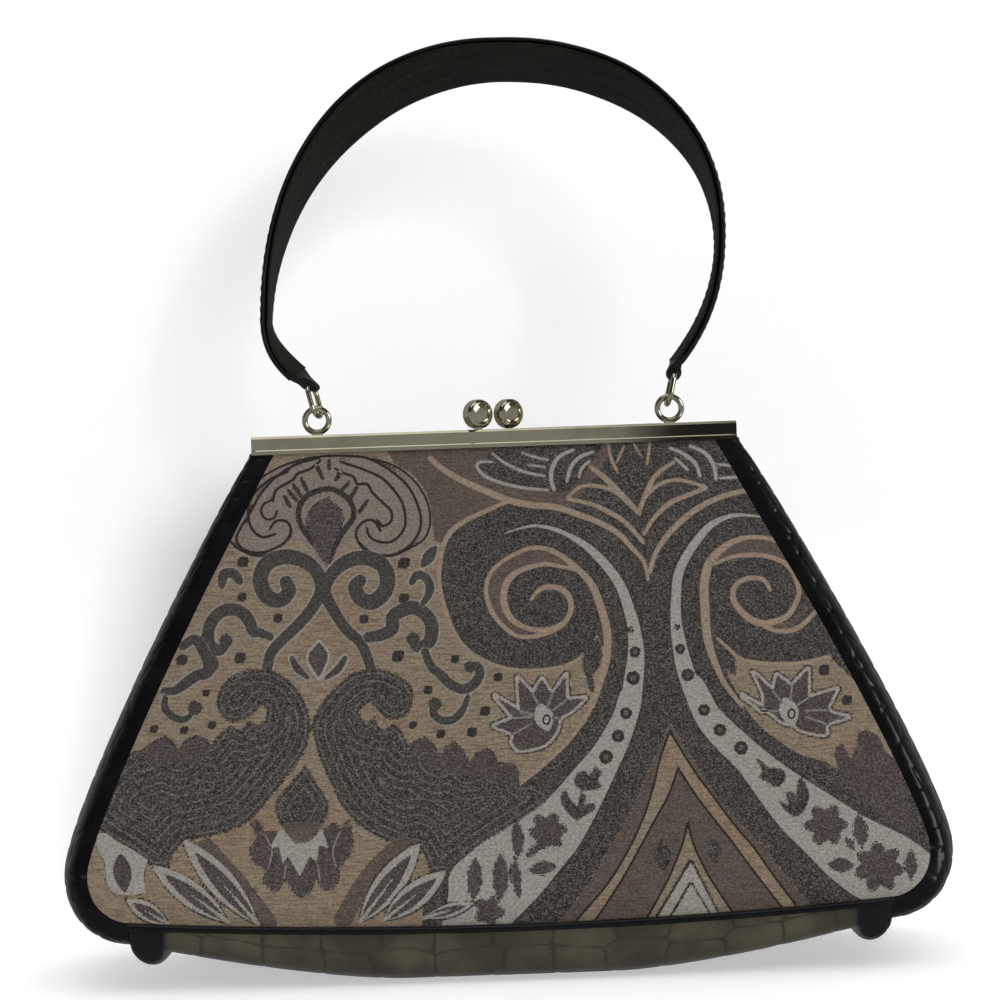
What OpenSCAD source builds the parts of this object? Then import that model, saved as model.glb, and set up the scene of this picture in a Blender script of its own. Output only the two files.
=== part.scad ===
// Kiss-lock frame handbag: a cloth body with embossed leather sides on a hinged metal frame,
// carried by an arched strap. Millimetres, +Z up, front towards -Y, floor at z = 0.

/* [Body] */
// Height of the closed frame's top above the floor
body_h = 181.5; // [170:0.5:198]
// Width of the body at its widest
body_w = 297; // [280:1:318]
// Height of the widest point of the body
wide_z = 39; // [34:1:46]
// Depth of the body over its lower seams
base_d = 88; // [76:1:104]
// How far each lower corner curves in under the body
corner_run = 24; // [19:1:30]
// Height of the base's ends above the floor
base_lift = 15; // [12:0.5:18]
// Length of the flat middle of the base
base_flat = 70; // [60:5:100]
// Height of the bottom seam at the middle of each face
seam_z = 19.5; // [17:0.5:22]
// Height of the bottom seam at the lower corners
seam_end_z = 24; // [22:0.5:27]
// Width of the leather band at the sides of each face
band_w = 13; // [10:0.5:16]
// How far each cloth face swells past its seams
crown = 7; // [3:0.5:11]

/* [Cloth and leather] */
// Thickness of the cloth faces
cloth_t = 1.4; // [1:0.1:1.8]
// Thickness of the leather sides and base
leather_t = 1.4; // [1:0.1:1.8]
// Thickness of the lining
lining_t = 0.8; // [0.6:0.1:1.2]
// Diameter of the piping on the bottom seams
piping_d = 3; // [2.4:0.2:4]
// Radius of the rolled ends of the base
roll_r = 5.5; // [4.5:0.5:7]
// Thickness of the board that stiffens the base
board_t = 2.4; // [1.6:0.2:3]
// Depth of the board, front to back
board_d = 46; // [38:1:48]

/* [Frame] */
// Length of the frame
frame_len = 165; // [155:1:178]
// Height of each frame bar
bar_h = 6.2; // [5.8:0.2:8]
// Thickness of each half of the frame
half_t = 6; // [5.6:0.1:7]
// Wall of the folded channel
bar_wall = 0.8; // [0.7:0.1:1]
// Distance from the frame's top down to its hinge
arm_drop = 38; // [32:1:46]
// Thickness of the hinge arms
arm_t = 1.5; // [1.2:0.1:2]
// Width of the hinge arms
arm_w = 2.2; // [1.8:0.1:2.4]
// Radius of the eye at the end of each arm
eye_r = 4; // [3.4:0.2:5]
// Diameter of the hinge rivets
rivet_d = 3; // [2.4:0.2:3.6]

/* [Clasp] */
// Diameter of the clasp knobs
knob_d = 10; // [8:0.2:11]
// Thickness of the clasp knobs
knob_t = 5.4; // [4.6:0.2:6]
// How far the knobs' faces turn to the side, in degrees
knob_turn = 35; // [20:1:45]

/* [Handle] */
// Distance from each end of the frame to its eyelet
eyelet_inset = 22; // [17:0.5:30]
// Outside diameter of the eyelets
eyelet_d = 10.2; // [9.6:0.2:12]
// Diameter of the eyelets' wire
eyelet_wire = 2; // [1.8:0.1:2.2]
// Length of the links that carry the strap
link_len = 13; // [12.4:0.2:16]
// Width of the links
link_w = 8.4; // [7.8:0.2:9]
// Diameter of the links' wire
link_wire = 1.8; // [1.6:0.1:1.9]
// How far the links lean outwards, in degrees
link_lean = 14; // [5:1:18]
// Width of the strap at the top of its arch
strap_w = 31; // [25:1:36]
// Width of the strap at its ends
strap_end_w = 10; // [8:0.5:12]
// Thickness of the strap's outer leather
strap_t = 2; // [1.6:0.1:2.4]
// Thickness of the strap's inner leather
strap_lining_t = 1.2; // [1:0.1:1.6]
// How far the strap's arch stands out past the eyelets at its widest
arch_out = 18; // [13.5:0.5:24]
// Height of the strap's arch above the links' pivot
arch_h = 124.5; // [112:0.5:140]
// Height of the arch's widest point above the links' pivot, on the right
arch_wide_h = 56; // [48:1:62]
// How much lower the arch is widest on the left
arch_slump = 22; // [0:1:26]
// How far the handle leans back at rest, in degrees
handle_lean = 12; // [0:1:25]
// How far the top of the arch sways to the right at rest
arch_sway = 5; // [0:0.5:8]
// How far the strap's left tip leans outwards at rest, in degrees
tip_lean = 45; // [20:1:50]
// How far the strap's inner face turns to the front at its top, in degrees
strap_cone = 5; // [0:1:12]

/* [Hidden] */

// Clearances
half_gap = 0.15;
seam_gap = 0.25;
seat_gap = 0.3;
hinge_gap = 0.08;
layer_gap = 0.25;
swing_gap = 0.9;

// Colours
gilt = "#b9b199";
cloth = "#6d6259";
croc = "#15151a";
olive = "#3b3a31";
satin = "#3a3330";
card = "#8a7a62";

// Frame heights and depths
bar_z = body_h - bar_h;
hinge_z = body_h - arm_drop;
bar_out_y = half_gap + half_t;
channel_in_y = half_gap + bar_wall;
channel_out_y = bar_out_y - bar_wall;
panel_y = channel_out_y - seat_gap;
cord_out_y = panel_y - cloth_t - seat_gap;
lip_h = 1.6;
lip_out = 0.35;
lip_y = bar_out_y + lip_out;
bar_end_wall = 1.5;
arm_gap = 0.3;
arm_inset = 2.4;
outer_arm_x = frame_len / 2 - arm_inset - arm_t;
inner_arm_x = outer_arm_x - arm_gap - arm_t;
rivet_head_r = rivet_d / 2 + 1.2;
rivet_head_h = 0.9;

// The body's outline in the XZ plane: a side curve, a corner ellipse and the base
top_x = frame_len / 2 + 1;
top_z = bar_z - 0.4;
base_end_x = body_w / 2 - corner_run;
side_steps = 13;
corner_steps = 7;
base_steps = 5;
flat_steps = 3;
roll_steps = 8;
roll_x = base_end_x - seam_gap - roll_r;
section_steps = 14;

function mix(a, b, t) = a + (b - a) * t;
function clip(v) = min(1, max(0, v));
function ease(t) = t * t * (3 - 2 * t);
function unit(v) = v / norm(v);
function bezier(p, t) =
    pow(1 - t, 3) * p[0] + 3 * pow(1 - t, 2) * t * p[1]
    + 3 * (1 - t) * t * t * p[2] + pow(t, 3) * p[3];

// Share of the side curve's width and height at which its two handles lie
side_handles = [
    [top_x, top_z],
    [mix(top_x, body_w / 2, 0.182), mix(top_z, wide_z, 0.12)],
    [body_w / 2, mix(top_z, wide_z, 0.862)],
    [body_w / 2, wide_z]];

function side_at(t) = bezier(side_handles, t);
function corner_at(a) = [base_end_x + corner_run * cos(a), wide_z - (wide_z - base_lift) * sin(a)];
function base_rise(x) =
    base_lift * pow(max(0, abs(x) - base_flat / 2) / (base_end_x - base_flat / 2), 1.5);
function bottom_seam_z(x) = mix(seam_z, seam_end_z, pow(abs(x) / base_end_x, 2));

// Half depth of the body over its seams at height z
function depth_at(z) = mix(panel_y, base_d / 2, pow(clip((top_z - z) / (top_z - 0.6 * wide_z)), 0.92));

// Band width along the side, then along the corner
function side_band(t) = mix(band_w - 1, band_w, t);
function corner_band(a) = mix(band_w, seam_end_z - base_lift, ease(a / 90));

// Each outline station: point, inward normal, half depth, band width, roundness
function side_station(t) = let(
        p = side_at(t), f = unit(side_at(min(1, t + 0.01)) - side_at(max(0, t - 0.01))),
        n = unit(mix([-1, 0], [f[1], -f[0]], ease(clip(3 * t)))))
    [p, n, depth_at(p[1]), side_band(t), mix(4, 3, clip(3 * t))];
function corner_station(a) = let(
        p = corner_at(a), f = unit(corner_at(a + 0.5) - corner_at(a - 0.5)))
    [p, [f[1], -f[0]], depth_at(p[1]), corner_band(a), mix(3, 5, a / 90)];
function base_station(x) = let(z = base_rise(x))
    [[x, z], [0, 1], base_d / 2, bottom_seam_z(x) - z, 5];

side_stations = [for (i = [0:side_steps]) side_station(i / side_steps)];
corner_stations = [for (i = [1:corner_steps]) corner_station(90 * i / corner_steps)];
gusset_stations = concat(side_stations, corner_stations);
half_base_x = concat(
    [for (i = [0:roll_steps]) roll_x + roll_r * cos(180 * i / roll_steps)],
    [for (i = [1:base_steps]) mix(roll_x - roll_r, base_flat / 2, i / base_steps)],
    [for (i = [1:flat_steps]) mix(base_flat / 2, 0, i / flat_steps)]);
base_x = concat(half_base_x, [for (i = [len(half_base_x) - 2:-1:0]) -half_base_x[i]]);
base_stations = [for (x = base_x) base_station(x)];

// A station's seam point, set in from the outline by its band and a gap
function seam_point(s, gap) = s[0] + s[1] * (s[3] + gap);

// The rolled end of the base stands out below it by this much
function roll_out(x) = let(c = (abs(x) - roll_x) / roll_r) abs(c) < 1 ? roll_r * sqrt(1 - c * c) : 0;

function power_cos(a, n) = sign(cos(a)) * pow(abs(cos(a)), 2 / n);
function power_sin(a, n) = sign(sin(a)) * pow(abs(sin(a)), 2 / n);

// A point of the leather strip at station s and section angle a; inset 0 is its outside
function strip_point(s, a, inset, bulge) = let(
        off = inset + (s[3] - inset) * (1 - power_cos(a, s[4])),
        out = bulge * pow(clip(2.2 * cos(a)), 0.5),
        p = s[0] + s[1] * (off - out))
    [p[0], (s[2] - inset) * power_sin(a, s[4]), max(inset == 0 ? 0 : inset, p[1])];

// A closed sheet from two point grids of one size, each a list of rows
module sheet_between(outer, inner) {
    rows = len(outer);
    cols = len(outer[0]);
    side = rows * cols;
    points = concat([for (r = outer) each r], [for (r = inner) each r]);
    faces = concat(
        [for (i = [0:rows - 2], j = [0:cols - 2])
            each [[i * cols + j, i * cols + j + 1, (i + 1) * cols + j + 1],
                [i * cols + j, (i + 1) * cols + j + 1, (i + 1) * cols + j]]],
        [for (i = [0:rows - 2], j = [0:cols - 2])
            each [[side + i * cols + j, side + (i + 1) * cols + j + 1, side + i * cols + j + 1],
                [side + i * cols + j, side + (i + 1) * cols + j, side + (i + 1) * cols + j + 1]]],
        [for (j = [0:cols - 2]) each [[j, side + j, side + j + 1], [j, side + j + 1, j + 1]]],
        [for (j = [0:cols - 2]) let(a = (rows - 1) * cols + j)
            each [[a, a + 1, side + a + 1], [a, side + a + 1, side + a]]],
        [for (i = [0:rows - 2]) let(a = i * cols, b = (i + 1) * cols)
            each [[a, b, side + b], [a, side + b, side + a]]],
        [for (i = [0:rows - 2]) let(a = i * cols + cols - 1, b = a + cols)
            each [[a, side + b, b], [a, side + a, side + b]]]);
    polyhedron(points = points, faces = faces, convexity = 6);
}

// Rings of one size joined into a tube with flat ends
module tube_of(rings) {
    n = len(rings[0]);
    last = len(rings) - 1;
    points = [for (r = rings) each r];
    faces = concat(
        [[for (j = [0:n - 1]) j]],
        [for (i = [0:last - 1], j = [0:n - 1]) let(k = (j + 1) % n)
            each [[i * n + j, (i + 1) * n + k, i * n + k], [i * n + j, (i + 1) * n + j, (i + 1) * n + k]]],
        [[for (j = [n - 1:-1:0]) last * n + j]]);
    polyhedron(points = points, faces = faces, convexity = 6);
}

function section_angles() = [for (j = [0:section_steps]) -90 + 180 * j / section_steps];

// Leather side panel that wraps from face to face, with its lower corner
module gusset() {
    sheet_between(
        [for (s = gusset_stations) [for (a = section_angles()) strip_point(s, a, 0, 0)]],
        [for (s = gusset_stations) [for (a = section_angles()) strip_point(s, a, leather_t, 0)]]);
}

module right_gusset() {
    color(croc) gusset();
}

module left_gusset() {
    color(croc) mirror([1, 0, 0]) gusset();
}

// Leather base with a rolled end at each side
function base_row(s, inset) =
    [for (a = section_angles()) strip_point(s, a, inset, roll_out(s[0][0]))];

module base_panel() {
    color(olive) sheet_between(
        [for (s = base_stations) base_row(s, 0)],
        [for (s = base_stations) base_row(s, leather_t)]);
}

// Board that lies on the flat of the base
module base_board() {
    color(card) translate([0, 0, leather_t + seat_gap + board_t / 2])
        cube([base_flat - 2 * leather_t, board_d, board_t], center = true);
}

// Cloth face: rows follow the side stations, columns run from seam to seam
face_cols = 18;
face_rows = concat(
    [[[seam_point(gusset_stations[0], seam_gap)[0], body_h - bar_wall - seat_gap], panel_y]],
    [for (s = gusset_stations) [seam_point(s, seam_gap), s[2]]]);
function face_swell(f, v) = crown * pow(1 - f * f, 0.7) * pow(sin(180 * pow(clip(v), 0.8)), 0.7);
function face_sag(x, v) = (bottom_seam_z(x) - seam_end_z) * ease(clip(3 * v - 2));
function face_point(r, j, inset) = let(
        f = 2 * j / face_cols - 1,
        x = r[0][0] * f,
        v = clip((top_z - r[0][1]) / (top_z - seam_end_z)))
    [x, inset - r[1] - face_swell(f, v), r[0][1] + face_sag(x, v)];

module face_panel() {
    sheet_between(
        [for (r = face_rows) [for (j = [0:face_cols]) face_point(r, j, 0)]],
        [for (r = face_rows) [for (j = [0:face_cols]) face_point(r, j, cloth_t)]]);
}

module front_panel() {
    color(cloth) face_panel();
}

module back_panel() {
    color(cloth) mirror([0, 1, 0]) face_panel();
}

// Piping that covers the seam between a face and the base
piping_cols = 24;
piping_sides = 8;
module piping() {
    r = piping_d / 2;
    y = -base_d / 2 - r - 0.1;
    tube_of([for (i = [0:piping_cols]) let(x = mix(-base_end_x, base_end_x, i / piping_cols))
        [for (k = [0:piping_sides - 1]) let(a = 360 * k / piping_sides)
            [x, y + r * cos(a), bottom_seam_z(x) - r + r * sin(a)]]]);
}

module front_piping() {
    color(croc) piping();
}

module back_piping() {
    color(croc) mirror([0, 1, 0]) piping();
}

// Lining: a sewn pouch of level rings, drawn in past the hinge arms
lining_sides = 32;
lining_floor_z = leather_t + seat_gap + board_t + seat_gap;
lining_top_z = top_z - seat_gap;
lining_in = leather_t + 2.2;
lining_levels = 12;
lining_flare = 1.15;
function outline_x(z) = z > wide_z
    ? let(t = lookup(z, [for (i = [40:-1:0]) [side_at(i / 40)[1], i / 40]])) side_at(t)[0]
    : z > base_lift
    ? base_end_x + corner_run * sqrt(1 - pow((wide_z - z) / (wide_z - base_lift), 2))
    : mix(base_flat / 2, base_end_x, pow(clip(z / base_lift), 2 / 3));
function lining_x(z) = min(outline_x(z - lining_in) - lining_in,
    inner_arm_x - 2 + lining_flare * max(0, hinge_z - eye_r - 9 - z));
function lining_y(z) = (depth_at(z) - cloth_t - seat_gap)
    * (1 - 0.22 * pow(clip((band_w + 12 - z) / (band_w + 12)), 2));
function lining_ring(z, inset) = [for (k = [0:lining_sides - 1]) let(a = 360 * k / lining_sides)
    [(lining_x(z) - inset) * power_cos(a, 3.4), (lining_y(z) - inset) * power_sin(a, 3.4), z]];
lining_z = [for (i = [0:lining_levels]) mix(lining_floor_z, lining_top_z, pow(i / lining_levels, 1.15))];

module lining() {
    color(satin) {
        n = lining_sides;
        outer = [for (z = lining_z) lining_ring(z, 0)];
        inner = [for (i = [0:lining_levels]) let(z = lining_z[i])
            [for (p = lining_ring(z, lining_t)) i == 0 ? p + [0, 0, lining_t] : p]];
        rings = concat(outer, [for (i = [lining_levels:-1:0]) inner[i]]);
        tube_of(rings);
    }
}

// One half of the frame, on the front side: a folded channel bar and two hinge arms
module bar_section() {
    difference() {
        polygon([
            [half_gap, bar_z], [lip_y, bar_z], [lip_y, bar_z + lip_h - lip_out],
            [bar_out_y, bar_z + lip_h], [bar_out_y, body_h - bar_wall],
            [bar_out_y - bar_wall, body_h], [half_gap, body_h]]);
        translate([channel_in_y, bar_z - 1])
            square([channel_out_y - channel_in_y, bar_h - bar_wall + 1]);
    }
}

// Turns a drawing in depth and height into a solid that runs along X, on the front side
module along_x(length) {
    rotate([90, 0, -90]) linear_extrude(length, center = true) children();
}

module arm_section() {
    difference() {
        union() {
            translate([half_gap + 0.05, hinge_z]) square([arm_w, body_h - bar_wall / 2 - hinge_z]);
            translate([0, hinge_z]) circle(eye_r, $fn = 48);
        }
        translate([0, hinge_z]) circle(rivet_d / 2 + hinge_gap, $fn = 48);
    }
}

module frame_half(arm_x) {
    along_x(frame_len - 2 * bar_end_wall) bar_section();
    for (side = [-1, 1]) {
        translate([side * (frame_len - bar_end_wall) / 2, 0, 0]) along_x(bar_end_wall) difference() {
            hull() bar_section();
            translate([bar_out_y, bar_z + lip_h]) square([1, bar_h]);
        }
        translate([side * (arm_x + arm_t / 2), 0, 0]) along_x(arm_t) arm_section();
    }
}

module front_frame() {
    color(gilt) frame_half(outer_arm_x);
}

module back_frame() {
    color(gilt) mirror([0, 1, 0]) frame_half(inner_arm_x);
}

// Cord that wedges the cloth in the channel
module packing_cord() {
    length = 2 * seam_point(gusset_stations[0], seam_gap)[0];
    along_x(length) translate([channel_in_y + half_gap, bar_z + 0.8])
        square([cord_out_y - channel_in_y - half_gap, bar_h - bar_wall - 1.4]);
}

module front_packing_cord() {
    color(card) packing_cord();
}

module back_packing_cord() {
    color(card) mirror([0, 1, 0]) packing_cord();
}

module hinge_rivet() {
    shank = 2 * arm_t + arm_gap + 2 * seam_gap;
    translate([inner_arm_x - seam_gap, 0, hinge_z]) rotate([0, 90, 0]) {
        cylinder(r = rivet_d / 2, h = shank, $fn = 48);
        translate([0, 0, -rivet_head_h]) cylinder(r = rivet_head_r, h = rivet_head_h, $fn = 48);
        translate([0, 0, shank]) cylinder(r = rivet_head_r, h = rivet_head_h, $fn = 48);
    }
}

module right_hinge_rivet() {
    color(gilt) hinge_rivet();
}

module left_hinge_rivet() {
    color(gilt) mirror([1, 0, 0]) hinge_rivet();
}

// Clasp knob: a thick round pad with a rim, on a stem; the two snap past each other
knob_rim = 1.4;
knob_groove = 0.5;
knob_dome = 0.4;
knob_stem_r = 1.4;
knob_stem_h = 1.8;
knob_z = body_h + knob_d / 2 + 0.3;
knob_rim_x = knob_d / 2 - knob_rim;
knob_rim_z = knob_t / 2 - knob_rim;
knob_reach_x = knob_rim_x * cos(knob_turn) + knob_rim_z * sin(knob_turn) + knob_rim;
knob_x = knob_reach_x + seat_gap / 2;
knob_y = 2;
bar_mid_y = half_gap + half_t / 2;

module knob_pad() {
    face_r = knob_rim_x - knob_groove;
    face_z = knob_t / 2 - knob_groove;
    quarter = [0:15:90];
    half = concat(
        [for (a = quarter) [knob_rim_x + knob_rim * cos(a), knob_rim_z + knob_rim * sin(a)]],
        [for (a = quarter) [face_r * cos(a), face_z + knob_dome * (sin(a) - 1)]]);
    other = [for (i = [len(half) - 1:-1:0]) [half[i][0], -half[i][1]]];
    rotate_extrude($fn = 72) polygon(concat(half, other));
}

module clasp_knob(y_pad) {
    translate([0, y_pad, knob_z]) rotate([0, 0, knob_turn]) rotate([90, 0, 0]) knob_pad();
    translate([0, -bar_mid_y, body_h]) cylinder(r = knob_stem_r, h = knob_stem_h, $fn = 48);
}

module front_clasp_knob() {
    color(gilt) translate([-knob_x, 0, 0]) clasp_knob(-knob_y);
}

module back_clasp_knob() {
    color(gilt) translate([knob_x, 0, 0]) mirror([0, 1, 0]) mirror([1, 0, 0]) clasp_knob(-knob_y);
}

// Eyelet: a wire ring on a collar, on the back half's top
eyelet_x = frame_len / 2 - eyelet_inset;
eyelet_r = (eyelet_d - eyelet_wire) / 2;
collar_h = 0.5;
eyelet_z = body_h + 0.1 + eyelet_d / 2;
eyelet_y = bar_mid_y;

module eyelet() {
    translate([eyelet_x, eyelet_y, eyelet_z]) rotate([90, 0, 0])
        rotate_extrude($fn = 72) translate([eyelet_r, 0]) circle(eyelet_wire / 2, $fn = 32);
    translate([eyelet_x, eyelet_y, body_h]) cylinder(r = eyelet_wire, h = collar_h, $fn = 48);
}

module right_eyelet() {
    color(gilt) eyelet();
}

module left_eyelet() {
    color(gilt) mirror([1, 0, 0]) eyelet();
}

// The links hang in the eyelets a little outside their tops; the handle swings about this line
pivot_x = eyelet_x;
pivot_z = eyelet_z + eyelet_r;
link_r = (link_w - link_wire) / 2;
link_drop = eyelet_wire / 2 + swing_gap + link_wire / 2;
link_straight = link_len - link_w;
link_top = link_straight + 2 * link_r - link_drop;
left_link_turn = 22;
right_link_turn = 8;

// Places things in the handle's own plane: pivot line at the origin, leaning back
module handle_frame() {
    translate([0, eyelet_y, pivot_z]) rotate([-handle_lean, 0, 0]) children();
}

// A link standing on the pivot, in the plane of Y and Z
module link_shape(wire) {
    translate([0, 0, link_r - link_drop]) {
        for (end = [0, 1]) translate([0, 0, end * link_straight]) rotate([0, 90, 0])
            rotate([0, 0, end * 180 - 90]) rotate_extrude(angle = 180, $fn = 64)
                translate([link_r, 0]) circle(wire / 2, $fn = 32);
        for (y = [-1, 1]) translate([0, y * link_r, 0])
            cylinder(r = wire / 2, h = link_straight, $fn = 32);
    }
}

module placed_link(turn, wire) {
    handle_frame() translate([pivot_x, 0, 0]) rotate([0, link_lean, 0]) rotate([0, 0, turn])
        link_shape(wire);
}

module right_link() {
    color(gilt) placed_link(right_link_turn, link_wire);
}

module left_link() {
    color(gilt) mirror([1, 0, 0]) placed_link(left_link_turn, link_wire);
}

// The strap's arch: x and height above the pivot line, at angle a from its widest point
strap_eye = [pivot_x + link_top * sin(link_lean), link_top * cos(link_lean)];
strap_full_t = strap_t + strap_lining_t;
tip_run = 4;
left_tip_run = 6;
right_end = strap_eye + tip_run * [sin(link_lean), cos(link_lean)];
left_end = strap_eye + left_tip_run * [sin(tip_lean), cos(tip_lean)];
arch_round = 2.1;
arch_w = 2 * (eyelet_x + arch_out);
right_low = acos(right_end[0] / (arch_w / 2));
left_low = acos(left_end[0] / (arch_w / 2));
function on_right(a) = a < 90;
function low_end(a) = on_right(a) ? right_end : left_end;
function low_angle(a) = on_right(a) ? right_low : left_low;
function wide_h(a) = on_right(a) ? arch_wide_h : arch_wide_h - arch_slump;
function arch_drop(a) = (wide_h(a) - low_end(a)[1]) / sin(low_angle(a));
function arch_upright(a) = sin(a) >= 0
    ? [arch_w / 2 * power_cos(a, arch_round), wide_h(a) + (arch_h - wide_h(a)) * power_sin(a, arch_round)]
    : [arch_w / 2 * cos(a), wide_h(a) + arch_drop(a) * sin(a)];
function arch_at(a) = let(p = arch_upright(a), z = low_end(a)[1])
    p + [arch_sway * pow(clip((p[1] - z) / (arch_h - z)), 0.8), 0];
strap_steps = 76;
function strap_angle(i) = mix(-right_low, 180 + left_low, i / strap_steps);

// The strap turns its inner face to the front, over its arch and again towards its ends
left_end_turn = 40;
right_end_turn = 18;
left_cone = 6;
function strap_turn(a) = sin(a) < 0
    ? ease(clip((abs(a - 90) - 90) / low_angle(a))) * (on_right(a) ? right_end_turn : left_end_turn)
    : strap_cone * sin(a) + (on_right(a) ? 0 : left_cone * sin(2 * (a - 90)));
function strap_width(a) = let(from_end = 1 - abs(a - 90) / (90 + low_angle(a)))
    mix(strap_end_w, strap_w, ease(clip(1.25 * from_end + 0.02)));

// Eight corners of the strap's section, between two levels of its thickness
strap_edge = 0.5;
function strap_ring(i, low, high, trim = 0) = let(
        a = strap_angle(i),
        c = arch_at(a),
        f = unit(arch_at(a + 0.4) - arch_at(a - 0.4)),
        out = [f[1], 0, -f[0]],
        turn = strap_turn(a),
        across = cos(turn) * [0, -1, 0] + sin(turn) * out,
        thick = cos(turn) * out - sin(turn) * [0, -1, 0],
        w = strap_width(a) / 2 - trim,
        e = strap_edge,
        mid = [c[0], 0, c[1]])
    [for (q = [[w - e, low], [w, low + e], [w, high - e], [w - e, high],
            [e - w, high], [-w, high - e], [-w, low + e], [e - w, low]])
        mid + q[0] * across + q[1] * thick];

// Folded tip that carries a link: it narrows to an eye round the link's wire
tip_eye_r = 2.6;
tip_eye_w = link_w - 2 * link_wire - 2 * seam_gap;
tip_wall = 0.25;
tip_sunk = 0.2;
tip_trim = 0.2;
module strap_tip(end, turn) {
    difference() {
        hull() {
            tube_of([for (k = [tip_sunk, 2 * tip_sunk]) strap_ring(end == 0 ? k : end - k,
                tip_trim - strap_full_t / 2, strap_full_t / 2 - tip_trim, tip_trim)]);
            translate([(end == 0 ? 1 : -1) * strap_eye[0], 0, strap_eye[1]])
                rotate([0, (end == 0 ? 1 : -1) * link_lean, 0]) rotate([0, 0, (end == 0 ? 1 : -1) * turn])
                    rotate([90, 0, 0]) cylinder(r = tip_eye_r, h = tip_eye_w, center = true, $fn = 32);
        }
        translate([(end == 0 ? 1 : -1) * pivot_x, 0, 0]) rotate([0, (end == 0 ? 1 : -1) * link_lean, 0])
            rotate([0, 0, (end == 0 ? 1 : -1) * turn]) link_shape(link_wire + 2 * tip_wall);
    }
}

module strap() {
    color(croc) handle_frame() {
        tube_of([for (i = [0:strap_steps])
            strap_ring(i, strap_lining_t - strap_full_t / 2, strap_full_t / 2)]);
        strap_tip(0, right_link_turn);
        strap_tip(strap_steps, left_link_turn);
    }
}

module strap_lining() {
    color(croc) handle_frame() tube_of([for (i = [1:strap_steps - 1])
        strap_ring(i, -strap_full_t / 2, strap_lining_t - strap_full_t / 2 - layer_gap)]);
}

front_frame();
back_frame();
front_packing_cord();
back_packing_cord();
left_hinge_rivet();
right_hinge_rivet();
front_clasp_knob();
back_clasp_knob();
left_eyelet();
right_eyelet();
left_link();
right_link();
strap();
strap_lining();
front_panel();
back_panel();
left_gusset();
right_gusset();
base_panel();
base_board();
lining();
front_piping();
back_piping();
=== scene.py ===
import math

import bpy
import numpy as np
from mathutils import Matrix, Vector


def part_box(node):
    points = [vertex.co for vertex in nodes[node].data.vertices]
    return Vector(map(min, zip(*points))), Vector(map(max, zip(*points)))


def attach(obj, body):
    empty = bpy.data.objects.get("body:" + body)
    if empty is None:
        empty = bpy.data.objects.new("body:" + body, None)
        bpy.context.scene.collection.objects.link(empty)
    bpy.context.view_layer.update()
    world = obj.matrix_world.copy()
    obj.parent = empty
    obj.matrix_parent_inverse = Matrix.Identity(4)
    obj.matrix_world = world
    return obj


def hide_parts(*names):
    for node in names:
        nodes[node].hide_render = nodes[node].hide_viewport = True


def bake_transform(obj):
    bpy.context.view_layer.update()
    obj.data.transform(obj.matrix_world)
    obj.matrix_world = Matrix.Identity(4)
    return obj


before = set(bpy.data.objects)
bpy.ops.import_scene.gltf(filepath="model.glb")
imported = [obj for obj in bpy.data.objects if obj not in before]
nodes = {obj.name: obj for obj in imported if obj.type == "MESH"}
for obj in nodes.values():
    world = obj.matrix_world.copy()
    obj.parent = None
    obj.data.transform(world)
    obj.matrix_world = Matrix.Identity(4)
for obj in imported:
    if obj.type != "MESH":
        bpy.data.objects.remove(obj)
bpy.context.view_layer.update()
print("frame loaded,", len(nodes), "nodes")


# Plain number helpers, on numpy arrays
def blendNumbers(a, b, t):
    return a + (b - a) * t


def clip01(v):
    return np.clip(v, 0, 1)


def ease(t):
    return t * t * (3 - 2 * t)


def unit(v):
    return v / np.linalg.norm(v, axis=-1, keepdims=True)


def powered(v, n):
    return np.sign(v) * np.abs(v) ** (2 / n)


def scatter(i, j, seed):  # a repeatable number from 0 to 1 for each pair of indices
    v = np.sin(i * 127.1 + j * 311.7 + seed * 74.7) * 43758.5453
    return v - np.floor(v)


def ripple(u, v, seed):  # slow unevenness between -1 and 1, from a few crossing waves
    total = 0
    for k in range(1, 5):
        turn = 2.4 * k + seed
        total = total + np.sin((u * np.cos(turn) + v * np.sin(turn)) * (0.6 + 0.37 * k) + seed * k) / 4
    return total


# Meshes are worked out in millimetres and stored in metres
def makePiece(name, points, faces, finish, fields=None, sharp=60):
    mesh = bpy.data.meshes.new(name)
    mesh.from_pydata((np.asarray(points) * 0.001).tolist(), [], faces)
    mesh.polygons.foreach_set("use_smooth", np.ones(len(mesh.polygons), bool))
    mesh.set_sharp_from_angle(angle=math.radians(sharp))
    for key, values in (fields or {}).items():
        wide = np.asarray(values).ndim == 2
        layer = mesh.attributes.new(key, "FLOAT_VECTOR" if wide else "FLOAT", "POINT")
        layer.data.foreach_set("vector" if wide else "value", np.asarray(values, np.float32).ravel())
    mesh.materials.append(finish)
    piece = bpy.data.objects.new(name, mesh)
    bpy.context.scene.collection.objects.link(piece)
    return piece


def gridIndex(rows, cols, start):
    return np.arange(rows * cols).reshape(rows, cols) + start


def quadsOf(index):
    corners = [index[:-1, :-1], index[:-1, 1:], index[1:, 1:], index[1:, :-1]]
    return np.stack(corners, -1).reshape(-1, 4)


def borderOf(index):
    return np.concatenate([index[0, :-1], index[:-1, -1], index[-1, :0:-1], index[:0:-1, 0]])


def facesOutward(points, quads, triangles):
    fans = np.concatenate([quads[:, [0, 1, 2]], quads[:, [0, 2, 3]], triangles])
    a, b, c = (points[fans[:, k]] for k in range(3))
    if np.einsum("ij,ij->", a, np.cross(b, c)) < 0:
        quads, triangles = quads[:, ::-1], triangles[:, ::-1]
    return quads.tolist() + triangles.tolist()


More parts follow.
